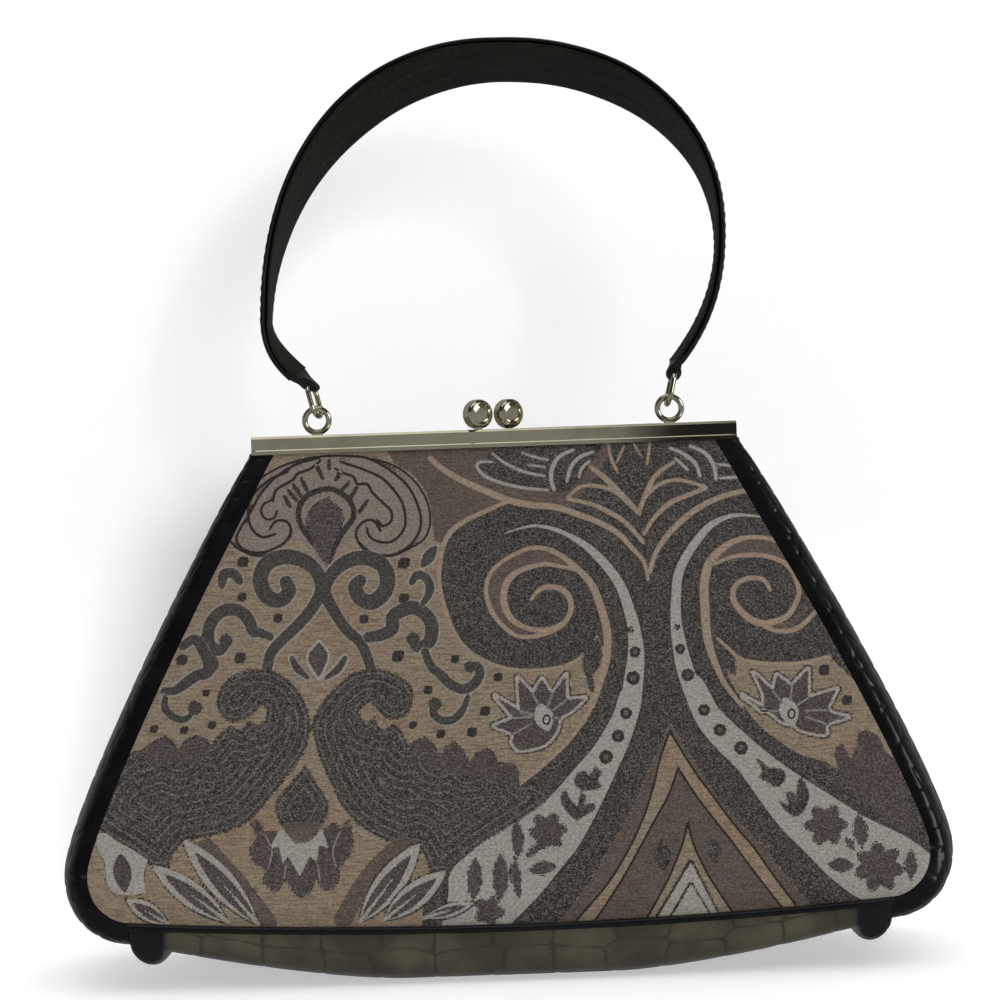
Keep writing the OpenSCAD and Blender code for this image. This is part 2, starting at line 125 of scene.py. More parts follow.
def thickSheet(name, outer, inner, finish, fields=None):  # inner may be a coarser grid
    rows, cols = outer.shape[:2]
    top = gridIndex(rows, cols, 0)
    low = gridIndex(*inner.shape[:2], rows * cols)
    step = (cols - 1) // (inner.shape[1] - 1)
    edge, back = borderOf(top), borderOf(low)
    triangles = []
    for i in range(len(back)):
        j = (i + 1) % len(back)
        run = [edge[(step * i + k) % len(edge)] for k in range(step + 1)]
        triangles += [(run[k + 1], run[k], back[i]) for k in range(step)]
        triangles.append((run[-1], back[i], back[j]))
    points = np.concatenate([outer.reshape(-1, 3), inner.reshape(-1, 3)])
    quads = np.concatenate([quadsOf(top), quadsOf(low)[:, ::-1]])
    whole = {}
    for key, values in (fields or {}).items():
        thin = values[::step, ::step]
        shape = (-1, 3) if values.ndim == 3 else (-1,)
        whole[key] = np.concatenate([values.reshape(shape), thin.reshape(shape)])
    faces = facesOutward(points, quads, np.array(triangles))
    return makePiece(name, points, faces, finish, whole)


def tubeAlong(rings):  # closed rings of one size, with fanned ends
    count, sides = rings.shape[:2]
    index = gridIndex(count, sides, 0)
    wrapped = np.concatenate([index, index[:, :1]], 1)
    ends = [(count * sides, index[0]), (count * sides + 1, index[-1][::-1])]
    triangles = [(ring[k], hub, ring[(k + 1) % sides]) for hub, ring in ends for k in range(sides)]
    points = np.concatenate([rings.reshape(-1, 3), rings[[0, -1]].mean(1)])
    return points, quadsOf(wrapped), np.array(triangles)


def tubePiece(name, rings, finish, fields=None, sharp=60):
    points, quads, triangles = tubeAlong(rings)
    return makePiece(name, points, facesOutward(points, quads, triangles), finish, fields, sharp)


def manyTubes(name, tubes, finish):
    points, faces, start = [], [], 0
    for rings in tubes:
        own, quads, triangles = tubeAlong(rings)
        faces += [[v + start for v in face] for face in facesOutward(own, quads, triangles)]
        points.append(own)
        start += len(own)
    return makePiece(name, np.concatenate(points), faces, finish)


def surfaceNormals(grid):
    return unit(np.cross(np.gradient(grid, axis=1), np.gradient(grid, axis=0)))


# Shader wiring: a Wire is one socket, and maths on wires adds Math nodes
def screenColour(r, g, b):  # a colour as it looks on a screen, 0 to 255
    v = np.array([r, g, b]) / 255
    return (*np.where(v <= 0.04045, v / 12.92, ((v + 0.055) / 1.055) ** 2.4), 1)


class Wire:
    def __init__(self, tree, socket=None):
        self.tree, self.socket = tree, socket

    def node(self, kind, settings=None, inputs=None, output=0):
        made = self.tree.nodes.new("ShaderNode" + kind)
        for key, value in (settings or {}).items():
            setattr(made, key, value)
        for key, value in (inputs or {}).items():
            if isinstance(value, Wire):
                self.tree.links.new(value.socket, made.inputs[key])
            else:
                made.inputs[key].default_value = value
        return Wire(self.tree, made.outputs[output]) if len(made.outputs) else made

    def other(self, output):  # another output of the same node
        return Wire(self.tree, self.socket.node.outputs[output])

    def maths(self, operation, a, b=0.0):
        return self.node("Math", dict(operation=operation), {0: a, 1: b})

    def __add__(self, other):
        return self.maths("ADD", self, other)

    def __radd__(self, other):
        return self.maths("ADD", other, self)

    def __sub__(self, other):
        return self.maths("SUBTRACT", self, other)

    def __rsub__(self, other):
        return self.maths("SUBTRACT", other, self)

    def __mul__(self, other):
        return self.maths("MULTIPLY", self, other)

    def __rmul__(self, other):
        return self.maths("MULTIPLY", other, self)

    def __pow__(self, other):
        return self.maths("POWER", self, other)

    def step(self, low, high):  # 0 below low, 1 above high, eased between
        return self.node("MapRange", dict(interpolation_type="SMOOTHSTEP"),
                         {"Value": self, "From Min": low, "From Max": high})

    def colour(self, under, over):  # this wire is the share of over
        return self.node("Mix", dict(data_type="RGBA"), {0: self, 6: under, 7: over}, 2)

    def field(self, name, output="Fac"):
        return self.node("Attribute", dict(attribute_name=name), None, output)

    def stretched(self, x, y, z):
        return self.node("VectorMath", dict(operation="MULTIPLY"), {0: self, 1: (x, y, z)})

    def noise(self, scale, detail=2.0, rough=0.5):
        inputs = {"Vector": self, "Scale": scale, "Detail": detail, "Roughness": rough}
        return self.node("TexNoise", None, inputs)

    def bump(self, distance, strength=1.0):
        inputs = {"Height": self, "Distance": distance, "Strength": strength}
        return self.node("Bump", None, inputs)


def newFinish(name):
    material = bpy.data.materials.new(name)
    material.use_nodes = True
    material.node_tree.nodes.clear()
    return material, Wire(material.node_tree)


def closeFinish(wire, **sockets):
    shader = wire.node("BsdfPrincipled", None, {k.replace("_", " "): v for k, v in sockets.items()})
    wire.node("OutputMaterial", None, {"Surface": shader})


# The bag's own shape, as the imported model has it
gussetLow, gussetHigh = (np.array(corner) * 1000 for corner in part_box("right_gusset"))
bag = dict(
    topX=83.5, topZ=gussetHigh[2], wideX=gussetHigh[0], wideZ=39, cornerRun=24, lift=gussetLow[2],
    flatHalf=35, halfDepth=gussetHigh[1], panelY=5.05, bandTop=8.4, band=10.8, seamZ=19.5, seamEndZ=24,
    crown=7, frameTopZ=180.4, hingeZ=143.5, gap=0.25, clothT=1.4, leatherT=1.4, rollR=5.5,
    upperPull=(0.182, 0.12), lowerPull=0.862, deepest=0.6, taper=0.92, riseCurve=1.5)
bag["endX"] = bag["wideX"] - bag["cornerRun"]
bag["rollX"] = bag["endX"] - bag["gap"] - bag["rollR"]


def sideAt(t):
    x, z, wideX, wideZ = bag["topX"], bag["topZ"], bag["wideX"], bag["wideZ"]
    pullX, pullZ = bag["upperPull"]
    handles = np.array([
        [x, z], [blendNumbers(x, wideX, pullX), blendNumbers(z, wideZ, pullZ)],
        [wideX, blendNumbers(z, wideZ, bag["lowerPull"])], [wideX, wideZ]])
    t = np.asarray(t)[:, None]
    parts = (1 - t) ** 3, 3 * (1 - t) ** 2 * t, 3 * (1 - t) * t * t, t ** 3
    return sum(part * handle for part, handle in zip(parts, handles))


def cornerAt(a):
    drop = bag["wideZ"] - bag["lift"]
    return np.stack([bag["endX"] + bag["cornerRun"] * np.cos(a), bag["wideZ"] - drop * np.sin(a)], 1)


def depthAt(z):
    deepZ = bag["deepest"] * bag["wideZ"]
    share = clip01((bag["topZ"] - z) / (bag["topZ"] - deepZ)) ** bag["taper"]
    return blendNumbers(bag["panelY"], bag["halfDepth"], share)


def bottomSeam(x):
    return blendNumbers(bag["seamZ"], bag["seamEndZ"], (np.abs(x) / bag["endX"]) ** 2)


def baseRise(x):
    run = np.maximum(0, np.abs(x) - bag["flatHalf"]) / (bag["endX"] - bag["flatHalf"])
    return bag["lift"] * run ** bag["riseCurve"]


def stationsOf(point, inward, depth, band, power):
    return np.column_stack([point, inward, depth, band, power])


def sideStations(count):  # down the side, then round the lower corner
    t = np.linspace(0, 1, count)
    point = sideAt(t)
    along = unit(sideAt(np.minimum(1, t + 0.01)) - sideAt(np.maximum(0, t - 0.01)))
    square = np.stack([along[:, 1], -along[:, 0]], 1)
    inward = unit(blendNumbers(np.array([-1.0, 0.0]), square, ease(clip01(3 * t))[:, None]))
    band = blendNumbers(bag["bandTop"], bag["band"], t)
    side = stationsOf(point, inward, depthAt(point[:, 1]), band, blendNumbers(4, 3, clip01(3 * t)))
    a = np.radians(np.linspace(0, 90, count // 2)[1:])
    point = cornerAt(a)
    along = unit(cornerAt(a + 0.01) - cornerAt(a - 0.01))
    inward = np.stack([along[:, 1], -along[:, 0]], 1)
    share = a / np.radians(90)
    band = blendNumbers(bag["band"], bag["seamEndZ"] - bag["lift"], ease(share))
    corner = stationsOf(point, inward, depthAt(point[:, 1]), band, blendNumbers(3, 5, share))
    return np.concatenate([side, corner])


def evenRows(table, count):  # rows evenly spaced along the first two columns
    run = np.concatenate([[0], np.cumsum(np.linalg.norm(np.diff(table[:, :2], axis=0), axis=1))])
    spots = np.linspace(0, run[-1], count)
    return np.stack([np.interp(spots, run, column) for column in table.T], 1), spots


def stripPoint(stations, angle, inset, bulge):
    point, inward, depth, band, power = np.split(stations, [2, 4, 5, 6], 1)
    out = bulge[:, None] * clip01(2.2 * np.cos(angle)) ** 0.5
    off = inset + (band - inset) * (1 - powered(np.cos(angle), power)) - out
    x = point[:, :1] + inward[:, :1] * off
    z = np.maximum(inset, point[:, 1:] + inward[:, 1:] * off)
    return np.stack([x, (depth - inset) * powered(np.sin(angle), power), z], -1)


def stripGrid(stations, count, bulge):  # evenly spaced across the strip, front to back
    fine = np.radians(np.linspace(-90, 90, 541))[None, :]
    section = stripPoint(stations, fine, 0, bulge)
    run = np.cumsum(np.linalg.norm(np.diff(section, axis=1), axis=2), axis=1)
    run = np.concatenate([np.zeros((len(run), 1)), run], 1)
    spots = np.linspace(0, 1, count)
    angle = np.stack([np.interp(spots * r[-1], r, fine[0]) for r in run])
    across = (spots[None, :] - 0.5) * run[:, -1:]
    return angle, across


# Embossed scales: domed cells with sunk lines between them
def scaleRelief(u, v, scales):
    long, wide, seed = scales["long"], scales["wide"], scales["seed"]
    row = np.floor(v / wide)
    nearest, second = np.full(u.shape, 9.0), np.full(u.shape, 9.0)
    lift = np.zeros(u.shape)
    for dv in (-1, 0, 1):
        j = row + dv
        shift = scatter(j, j * 0 + 3, seed)
        column = np.floor(u / long - shift)
        for du in (-1, 0, 1):
            i = column + du
            x = (i + 0.5 + shift + scales["jitter"] * (scatter(i, j, seed + 1) - 0.5)) * long
            y = (j + 0.5 + scales["jitter"] * 0.7 * (scatter(i, j, seed + 2) - 0.5)) * wide
            far = (np.abs((u - x) / long) ** 3 + np.abs((v - y) / wide) ** 3) ** (1 / 3)
            closer = far < nearest
            second = np.where(closer, nearest, np.minimum(second, far))
            lift = np.where(closer, scatter(i, j, seed + 4), lift)
            nearest = np.where(closer, far, nearest)
    edge = (second - nearest) * min(long, wide) / 2
    top = ease(clip01(edge / scales["groove"])) ** 0.8
    dome = 1 - scales["round"] * nearest ** 2 + 0.25 * (lift - 0.5)
    return scales["rise"] * (top * dome - 0.55)


# Woven cloth: motifs are signed distances in design units, painted one over another
design = dict(focal=2632, eye=900, eyeZ=158, midX=496, midY=498, turn=2, size=1000)  # the photo's view
layerNames = ["brown", "dark", "slate", "taupe", "grey", "maroon", "tan", "ink"]


def toDesign(x, y, z):
    reach = design["focal"] / (design["eye"] - np.abs(y))
    c, s = math.cos(math.radians(design["turn"])), math.sin(math.radians(design["turn"]))
    right, up = x * reach, (z - design["eyeZ"]) * reach
    return np.stack([design["midX"] + c * right - s * up, design["midY"] - s * right - c * up], -1)


def smoothLine(points, closed=False, steps=5):  # a curve through the points; a third number marks a corner
    corner = [len(p) > 2 for p in points]
    p = np.array([q[:2] for q in points], float)
    n = len(p)
    line = []
    for i in range(n if closed else n - 1):
        a, b = p[i], p[(i + 1) % n]
        before = p[i - 1] if (closed or i > 0) and not corner[i] else a
        beyond = (i + 2) % n if closed else min(i + 2, n - 1)
        after = p[beyond] if not corner[(i + 1) % n] else b
        for t in np.linspace(0, 1, steps, endpoint=False):
            slopeA, slopeB = (b - before) / 2, (after - a) / 2
            line.append((2 * t ** 3 - 3 * t * t + 1) * a + (t ** 3 - 2 * t * t + t) * slopeA
                        + (3 * t * t - 2 * t ** 3) * b + (t ** 3 - t * t) * slopeB)
    if not closed:
        line.append(p[-1])
    return np.array(line)


class Loom:
    far = 9.0  # distances start at this many units

    def __init__(self, places):
        self.places = places
        self.layers = {name: np.full(len(places), self.far) for name in layerNames}
        self.depth = np.zeros(len(places))  # how deep a place lies in a motif of nested lines
        self.lineSide, self.lineNear = np.full(len(places), self.far), np.full(len(places), self.far)

    def paint(self, layer, near, distance):
        start = layerNames.index(layer) if layer in self.layers else -1
        if start >= 0:
            self.layers[layer][near] = np.minimum(self.layers[layer][near], distance)
        for above in layerNames[start + 1:]:
            self.layers[above][near] = np.maximum(self.layers[above][near], -distance)
        self.lineNear[near] = np.maximum(self.lineNear[near], -distance)

    def nearTo(self, line, reach):
        low, high = line.min(0) - reach - self.far, line.max(0) + reach + self.far
        near = np.flatnonzero(np.all((self.places > low) & (self.places < high), 1))
        return near, self.places[near]

    def toSegments(self, spots, line, widths):
        best = np.full(len(spots), 99.0)
        for a, b, wa, wb in zip(line[:-1], line[1:], widths[:-1], widths[1:]):
            way = b - a
            t = clip01((spots - a) @ way / max(way @ way, 1e-9))
            gone = np.linalg.norm(spots - a - t[:, None] * way, axis=1)
            best = np.minimum(best, gone - blendNumbers(wa, wb, t) / 2)
        return best

    def stroke(self, layer, points, *widths, halo=0, edge="tan"):
        line = smoothLine(points)
        spread = np.interp(np.linspace(0, 1, len(line)), np.linspace(0, 1, len(widths)), widths)
        near, spots = self.nearTo(line, max(widths) / 2 + halo)
        distance = self.toSegments(spots, line, spread)
        if halo:
            self.paint(edge, near, distance - halo)
        self.paint(layer, near, distance)

    def fill(self, layer, points, halo=0, edge="ink", grow=0, nested=0):
        line = smoothLine(points, True)
        near, spots = self.nearTo(line, halo + max(grow, 0))
        ring = np.concatenate([line, line[:1]])
        inside = np.zeros(len(spots), bool)
        for a, b in zip(ring[:-1], ring[1:]):
            spans = (a[1] > spots[:, 1]) != (b[1] > spots[:, 1])
            rise = b[1] - a[1] if abs(b[1] - a[1]) > 1e-9 else 1e-9
            inside ^= spans & (spots[:, 0] < a[0] + (spots[:, 1] - a[1]) * (b[0] - a[0]) / rise)
        gone = self.toSegments(spots, ring, np.zeros(len(ring)))
        distance = np.where(inside, -gone, gone) - grow
        if halo:
            self.paint(edge, near, distance - halo)
        self.paint(layer, near, distance)
        if nested:
            self.depth[near] = np.where(inside, np.minimum(gone, nested), self.depth[near])

    def threads(self, width, *lines):  # fine lines; side and reach are kept apart, so that they stay crisp
        for points in lines:
            line = smoothLine(points)
            near, spots = self.nearTo(line, width)
            gone, side = np.full(len(spots), 99.0), np.full(len(spots), 99.0)
            for a, b in zip(line[:-1], line[1:]):
                way = b - a
                off = spots - a - clip01((spots - a) @ way / max(way @ way, 1e-9))[:, None] * way
                far = np.linalg.norm(off, axis=1)
                turn = np.where(way[0] * off[:, 1] > way[1] * off[:, 0], far, -far)
                side = np.where(far < gone, turn, side)
                gone = np.minimum(gone, far)
            reach = gone - width / 2
            self.lineSide[near] = np.where(reach < self.lineNear[near], side * 2 / width, self.lineSide[near])
            self.lineNear[near] = np.minimum(self.lineNear[near], reach)

    def dot(self, layer, x, y, radius):
        near, spots = self.nearTo(np.array([[x, y]]), radius)
        self.paint(layer, near, np.linalg.norm(spots - (x, y), axis=1) - radius)

    def leaf(self, layer, x0, y0, x1, y1, width, halo=0, edge="ink"):  # an almond between two tips
        tips = np.array([[x0, y0], [x1, y1]], float)
        near, spots = self.nearTo(tips, width + halo)
        length = np.linalg.norm(tips[1] - tips[0])
        way = (tips[1] - tips[0]) / length
        along = (spots - tips[0]) @ way
        aside = np.abs((spots - tips[0]) @ np.array([-way[1], way[0]]))
        past = np.maximum(0, np.abs(along - length / 2) - length / 2)
        distance = np.hypot(aside, past) - width / 2 * np.sin(np.pi * clip01(along / length)) ** 0.8
        if halo:
            self.paint(edge, near, distance - halo)
        self.paint(layer, near, distance)

    def petals(self, layer, x, y, radius, count, deep=0.35, turn=0.0):
        near, spots = self.nearTo(np.array([[x, y]]), radius)
        angle = np.arctan2(spots[:, 1] - y, spots[:, 0] - x) + turn
        edge = radius * (1 - deep + deep * np.abs(np.cos(count * angle / 2)))
        self.paint(layer, near, np.hypot(spots[:, 0] - x, spots[:, 1] - y) - edge)


def paintFields(loom):  # the large areas of colour
    scrollField = [
        (506, 502), (465, 522), (446, 542), (442, 566), (441, 588), (453, 626), (467, 647), (488, 661),
        (511, 668), (534, 669), (559, 666), (577, 659), (589, 647), (597, 634, 1), (606, 655), (603, 676),
        (591, 714), (570, 741), (543, 768), (518, 787), (470, 820), (430, 870), (420, 960, 1), (1000, 960, 1),
        (1000, 420, 1), (560, 420, 1), (540, 500, 1)]
    loom.fill("dark", scrollField)
    upperField = [
        (376, 420, 1), (392, 460), (414, 476), (429, 500), (434, 540, 1), (444, 544, 1), (465, 522),
        (488, 510), (506, 502), (540, 507), (566, 509), (590, 484), (612, 446), (614, 420, 1)]
    loom.fill("brown", upperField)
    featherField = [
        (478, 467), (488, 456), (496, 440, 1), (604, 440, 1), (590, 466), (568, 490), (546, 491), (503, 483)]
    loom.fill("dark", featherField)
    starGround = [
        (716, 637, 1), (727, 647), (741, 659), (760, 663), (783, 663), (806, 661), (829, 656, 1), (880, 710),
        (906, 776, 1), (872, 764), (838, 768), (825, 762), (802, 755), (779, 741), (755, 721), (738, 695),
        (725, 668)]
    loom.fill("ground", starGround)
    sideCrest = [
        (838, 768, 1), (834, 752), (842, 743, 1), (851, 758, 1), (857, 744), (858, 733, 1), (868, 730),
        (880, 738), (886, 752), (898, 764), (908, 800), (914, 838), (884, 818), (852, 792)]
    loom.fill("maroon", sideCrest)


palmetteLines = [
    [(346, 456), (367, 458), (388, 469), (406, 484), (417, 503), (421, 524), (413, 542), (396, 554),
     (380, 555), (365, 550), (357, 539), (357, 529), (365, 521), (374, 521), (380, 530)],
    [(341, 462), (362, 469), (383, 479), (399, 497), (405, 513), (404, 529), (393, 541), (380, 542),
     (370, 537), (367, 529)],
    [(336, 469), (346, 474), (354, 477), (357, 484), (367, 484), (372, 492), (380, 500), (391, 511),
     (391, 521), (383, 526), (378, 521)],
    [(318, 458), (297, 464), (276, 477), (260, 495), (250, 513), (239, 531), (237, 542), (247, 551),
     (265, 552), (284, 543), (291, 532), (287, 522), (276, 521), (270, 529)],
    [(287, 472), (269, 480), (253, 495), (248, 509), (251, 527), (262, 537), (275, 534)],
    [(273, 500), (276, 490), (286, 484), (294, 479), (297, 474), (310, 469), (320, 461)]]
palmetteBars = [
    (284, 496, 290, 507), (288, 490, 297, 501), (293, 484, 301, 496), (301, 478, 307, 490),
    (316, 465, 323, 479), (329, 460, 329, 469), (341, 470, 336, 480), (349, 482, 342, 490),
    (357, 487, 350, 499), (368, 500, 359, 512)]


def paintPalmette(loom):
    fan = [
        (276, 553), (258, 556), (240, 550), (229, 538), (229, 520), (238, 503), (256, 482), (280, 467),
        (305, 459), (328, 456), (352, 456), (378, 460), (400, 469), (417, 484), (428, 504), (430, 524),
        (424, 539), (410, 548), (391, 556), (371, 552), (357, 540), (346, 544), (323, 568, 1), (306, 546),
        (294, 540)]
    loom.fill("taupe", fan)
    ring = [
        (297, 518), (299, 503), (310, 492), (328, 487), (344, 493), (354, 505), (355, 518), (346, 531),
        (338, 544), (328, 568, 1), (312, 544), (302, 531)]
    loom.fill("ink", ring, 1)
    loom.fill("taupe", ring, grow=-4.6)
    bud = [
        (328, 498, 1), (341, 511), (342, 523), (333, 544), (328, 566, 1), (316, 548), (307, 522), (313, 508)]
    loom.fill("maroon", bud, 1.6)
    for x0, y0, x1, y1 in palmetteBars:
        loom.stroke("ink", [(x0, y0), (x1, y1)], 3, 4.6, 3.4)
    curl = [(273, 500), (264, 504), (261, 512), (266, 519), (274, 518), (277, 511)]
    loom.threads(2.4, curl)
    loom.threads(2.7, *palmetteLines)
    loom.threads(2.2, fan[:11], fan[10:21])


def paintVolutes(loom):
    left = [
        (267, 674), (270, 655), (282, 640), (298, 625), (313, 607), (321, 590), (318, 574), (306, 562),
        (289, 557), (272, 560), (262, 571), (261, 585), (269, 598), (281, 600), (289, 591), (286, 582)]
    right = [
        (372, 672), (362, 645), (345, 628), (333, 609), (325, 592), (330, 577), (341, 565), (358, 558),
        (377, 561), (387, 574), (385, 591), (372, 602), (360, 598), (355, 587), (360, 581)]
    for halo in (1.3, 0):
        for line in (left, right):
            loom.stroke("slate", line, 10, 11, 12, 13, 15, 16, 16, 15, 13, halo=halo, edge="grey")
    heart = [(319, 642, 1), (328, 656), (319, 678, 1), (308, 658)]
    loom.fill("maroon", heart, 2.4, "grey")
    sepals = [[(292, 658), (297, 668), (308, 678)], [(345, 658), (338, 669), (326, 678)]]
    for petal in sepals:
        loom.stroke("slate", petal, 5, 8, 4, halo=1.8, edge="grey")


def paintHooks(loom):
    hooks = [
        ([(226, 641), (221, 650), (212, 648), (208, 637), (210, 625), (217, 615), (226, 610), (236, 610),
         (245, 615), (250, 623), (253, 631), (261, 633), (270, 637)], 10),
        ([(183, 646), (194, 639), (201, 646), (206, 656), (211, 664), (207, 673), (198, 675), (190, 680),
         (182, 686), (174, 691), (164, 691)], 9),
        ([(165, 698), (165, 708), (172, 716), (183, 720), (191, 715)], 6),
        ([(369, 637), (381, 635), (392, 629), (393, 617), (403, 610), (415, 608), (427, 616), (432, 628),
         (429, 642), (417, 647), (412, 638)], 11),
        ([(412, 582), (417, 575), (425, 577), (430, 586), (428, 596), (423, 603)], 7),
        ([(425, 652), (431, 666), (442, 676), (450, 684), (463, 689), (474, 684), (480, 673), (476, 665),
         (470, 668)], 8), ([(434, 704), (433, 713), (441, 720), (452, 720), (462, 711), (468, 697)], 6.5),
        ([(222, 585), (224, 574), (234, 574), (240, 582)], 8)]
    for line, width in hooks:
        loom.stroke("slate", line, width, width * 1.25, width * 1.25, width * 1.25, width * 0.8,
                    halo=1.3, edge="grey")
    hookEnds = [
        (226, 641, 6), (211, 664, 7.5), (195, 708, 6.5), (413, 639, 6), (470, 667, 5.5), (435, 704, 6)]
    for x, y, r in hookEnds:
        loom.dot("slate", x, y, r * 1.1)
    topSprig = (437, 545, 421, 568, 12)
    loom.leaf("slate", *topSprig, 1.6, "grey")
    specks = [
        (243, 562, 6), (242, 597, 5), (278, 618, 5), (240, 658, 6), (182, 660, 6), (364, 619, 5),
        (404, 563, 6.5), (404, 598, 5.5), (398, 656, 6.5), (455, 659, 4.5), (428, 690, 5), (498, 677, 5),
        (485, 711, 5.5), (413, 725, 4.5), (441, 734, 5), (472, 732, 5.5), (206, 693, 4), (212, 725, 4.5),
        (184, 730, 4.5), (154, 729, 4.5), (192, 600, 5), (824, 670, 6), (847, 700, 5.5)]
    for x, y, r in specks:
        loom.leaf("ink", x - r * 0.9, y + r * 0.7, x + r * 0.9, y - r * 0.7, r * 1.9)


def paintPaisleys(loom):
    left = [
        (244, 672), (258, 670), (272, 671), (288, 680), (301, 696), (309, 715), (309, 734), (303, 753),
        (290, 772), (273, 793), (255, 814), (238, 827), (213, 835), (184, 840, 1), (174, 852), (168, 868, 1),
        (152, 866, 1), (133, 851), (117, 842), (104, 833, 1), (86, 820, 1), (100, 780), (118, 762),
        (130, 753), (143, 751, 1), (153, 742), (166, 736, 1), (174, 742), (179, 751, 1), (187, 740),
        (198, 735, 1), (206, 739), (211, 746, 1), (220, 735), (231, 727), (242, 732, 1), (250, 722),
        (259, 727, 1), (266, 719), (266, 708), (260, 703, 1), (254, 712), (246, 718), (232, 722), (222, 716),
        (217, 703), (220, 690), (230, 679)]
    right = [
        (396, 675), (378, 669), (355, 673), (344, 680), (329, 695), (317, 713), (313, 730), (318, 752),
        (329, 779), (342, 805), (357, 823), (373, 834), (388, 841), (405, 847), (417, 843, 1), (425, 856),
        (431, 872, 1), (446, 871, 1), (480, 844), (518, 820), (548, 797), (532, 784, 1), (518, 784),
        (519, 772), (511, 763), (498, 763, 1), (494, 752), (487, 748, 1), (478, 752), (469, 763, 1),
        (463, 750), (454, 741, 1), (446, 748), (439, 757, 1), (434, 744), (425, 737, 1), (416, 741),
        (408, 745, 1), (403, 734), (395, 724, 1), (387, 729), (381, 730, 1), (374, 718, 1), (366, 725, 1),
        (359, 713), (363, 705), (370, 701, 1), (379, 711), (386, 717), (395, 719), (406, 714), (413, 700),
        (410, 685)]
    for body in (left, right):
        loom.fill("dark", body, 1.2, nested=60)
    rightComb = [
        (408, 746, 1), (416, 742), (425, 738, 1), (433, 745), (439, 758, 1), (446, 749), (454, 742, 1),
        (462, 751), (469, 764, 1), (478, 753), (487, 749, 1), (493, 753), (498, 764, 1), (510, 764),
        (518, 772), (517, 786), (500, 780), (470, 776), (430, 768)]
    loom.fill("maroon", rightComb)
    leftComb = [
        (144, 752, 1), (166, 738, 1), (178, 752, 1), (198, 737, 1), (209, 747, 1), (202, 760), (172, 764),
        (146, 762)]
    loom.fill("maroon", leftComb)


def paintThistle(loom):
    stems = [
        [(206, 845), (226, 868), (246, 893), (268, 922)], [(402, 842), (381, 862), (362, 886), (343, 920)]]
    for line in stems:
        loom.stroke("brown", line, 15, 17, 18)
    crest = [
        (251, 824), (259, 822), (265, 832), (276, 832), (300, 844), (326, 830), (334, 824), (342, 828),
        (349, 822), (352, 838), (349, 853), (340, 866), (337, 882), (326, 890), (316, 880), (308, 894),
        (299, 896), (291, 888), (285, 879), (276, 890), (264, 883), (266, 871), (255, 863), (250, 851),
        (257, 839)]
    loom.fill("maroon", crest, 1.6)
    veins = [
        [(266, 836), (272, 852), (268, 868)], [(340, 832), (333, 850), (336, 866)], [(286, 866), (284, 878)],
        [(318, 866), (320, 880)]]
    loom.threads(1.6, *veins)
    tuft = [
        (281, 827, 1), (269, 849, 1), (279, 847, 1), (283, 865, 1), (288, 856, 1), (300, 877, 1),
        (310, 856, 1), (317, 863, 1), (319, 845, 1), (329, 849, 1), (322, 829, 1), (313, 838, 1),
        (302, 843, 1), (290, 838, 1)]
    loom.fill("grey", tuft)
    drop = [
        (306, 766, 1), (318, 786), (328, 803), (324, 819), (312, 836), (300, 843), (288, 836), (279, 820),
        (276, 803), (291, 784)]
    loom.fill("dark", drop, 1.4, nested=16)
    dropFoot = [(284, 825), (300, 822), (320, 824), (312, 836), (300, 842), (289, 836)]
    loom.fill("brown", dropFoot)


def paintLeaves(loom):
    cornerLeaf = [
        (97, 834, 1), (106, 833), (117, 841), (133, 850), (148, 860, 1), (144, 874), (146, 893, 1),
        (128, 895), (113, 892), (106, 879), (105, 862), (97, 848)]
    loom.fill("grey", cornerLeaf, 1.2)
    cornerBud = (120, 853, 125, 893, 18)
    loom.leaf("maroon", *cornerBud)
    footLeaves = [
        (152, 865, 228, 922, 24), (183, 839, 258, 924, 27), (126, 899, 168, 924, 18),
        (420, 843, 360, 922, 28), (446, 871, 384, 920, 25), (474, 903, 424, 918, 13)]
    for x0, y0, x1, y1, width in footLeaves:
        loom.leaf("grey", x0, y0, x1, y1, width, 1.8)
        dx, dy = (x1 - x0) * 0.15, (y1 - y0) * 0.15
        loom.leaf("maroon", x0 + dx, y0 + dy, x1, y1, width * 0.6)
        loom.stroke("grey", [(x0 + 3 * dx, y0 + 3 * dy), (x1, y1)], 1, 4)


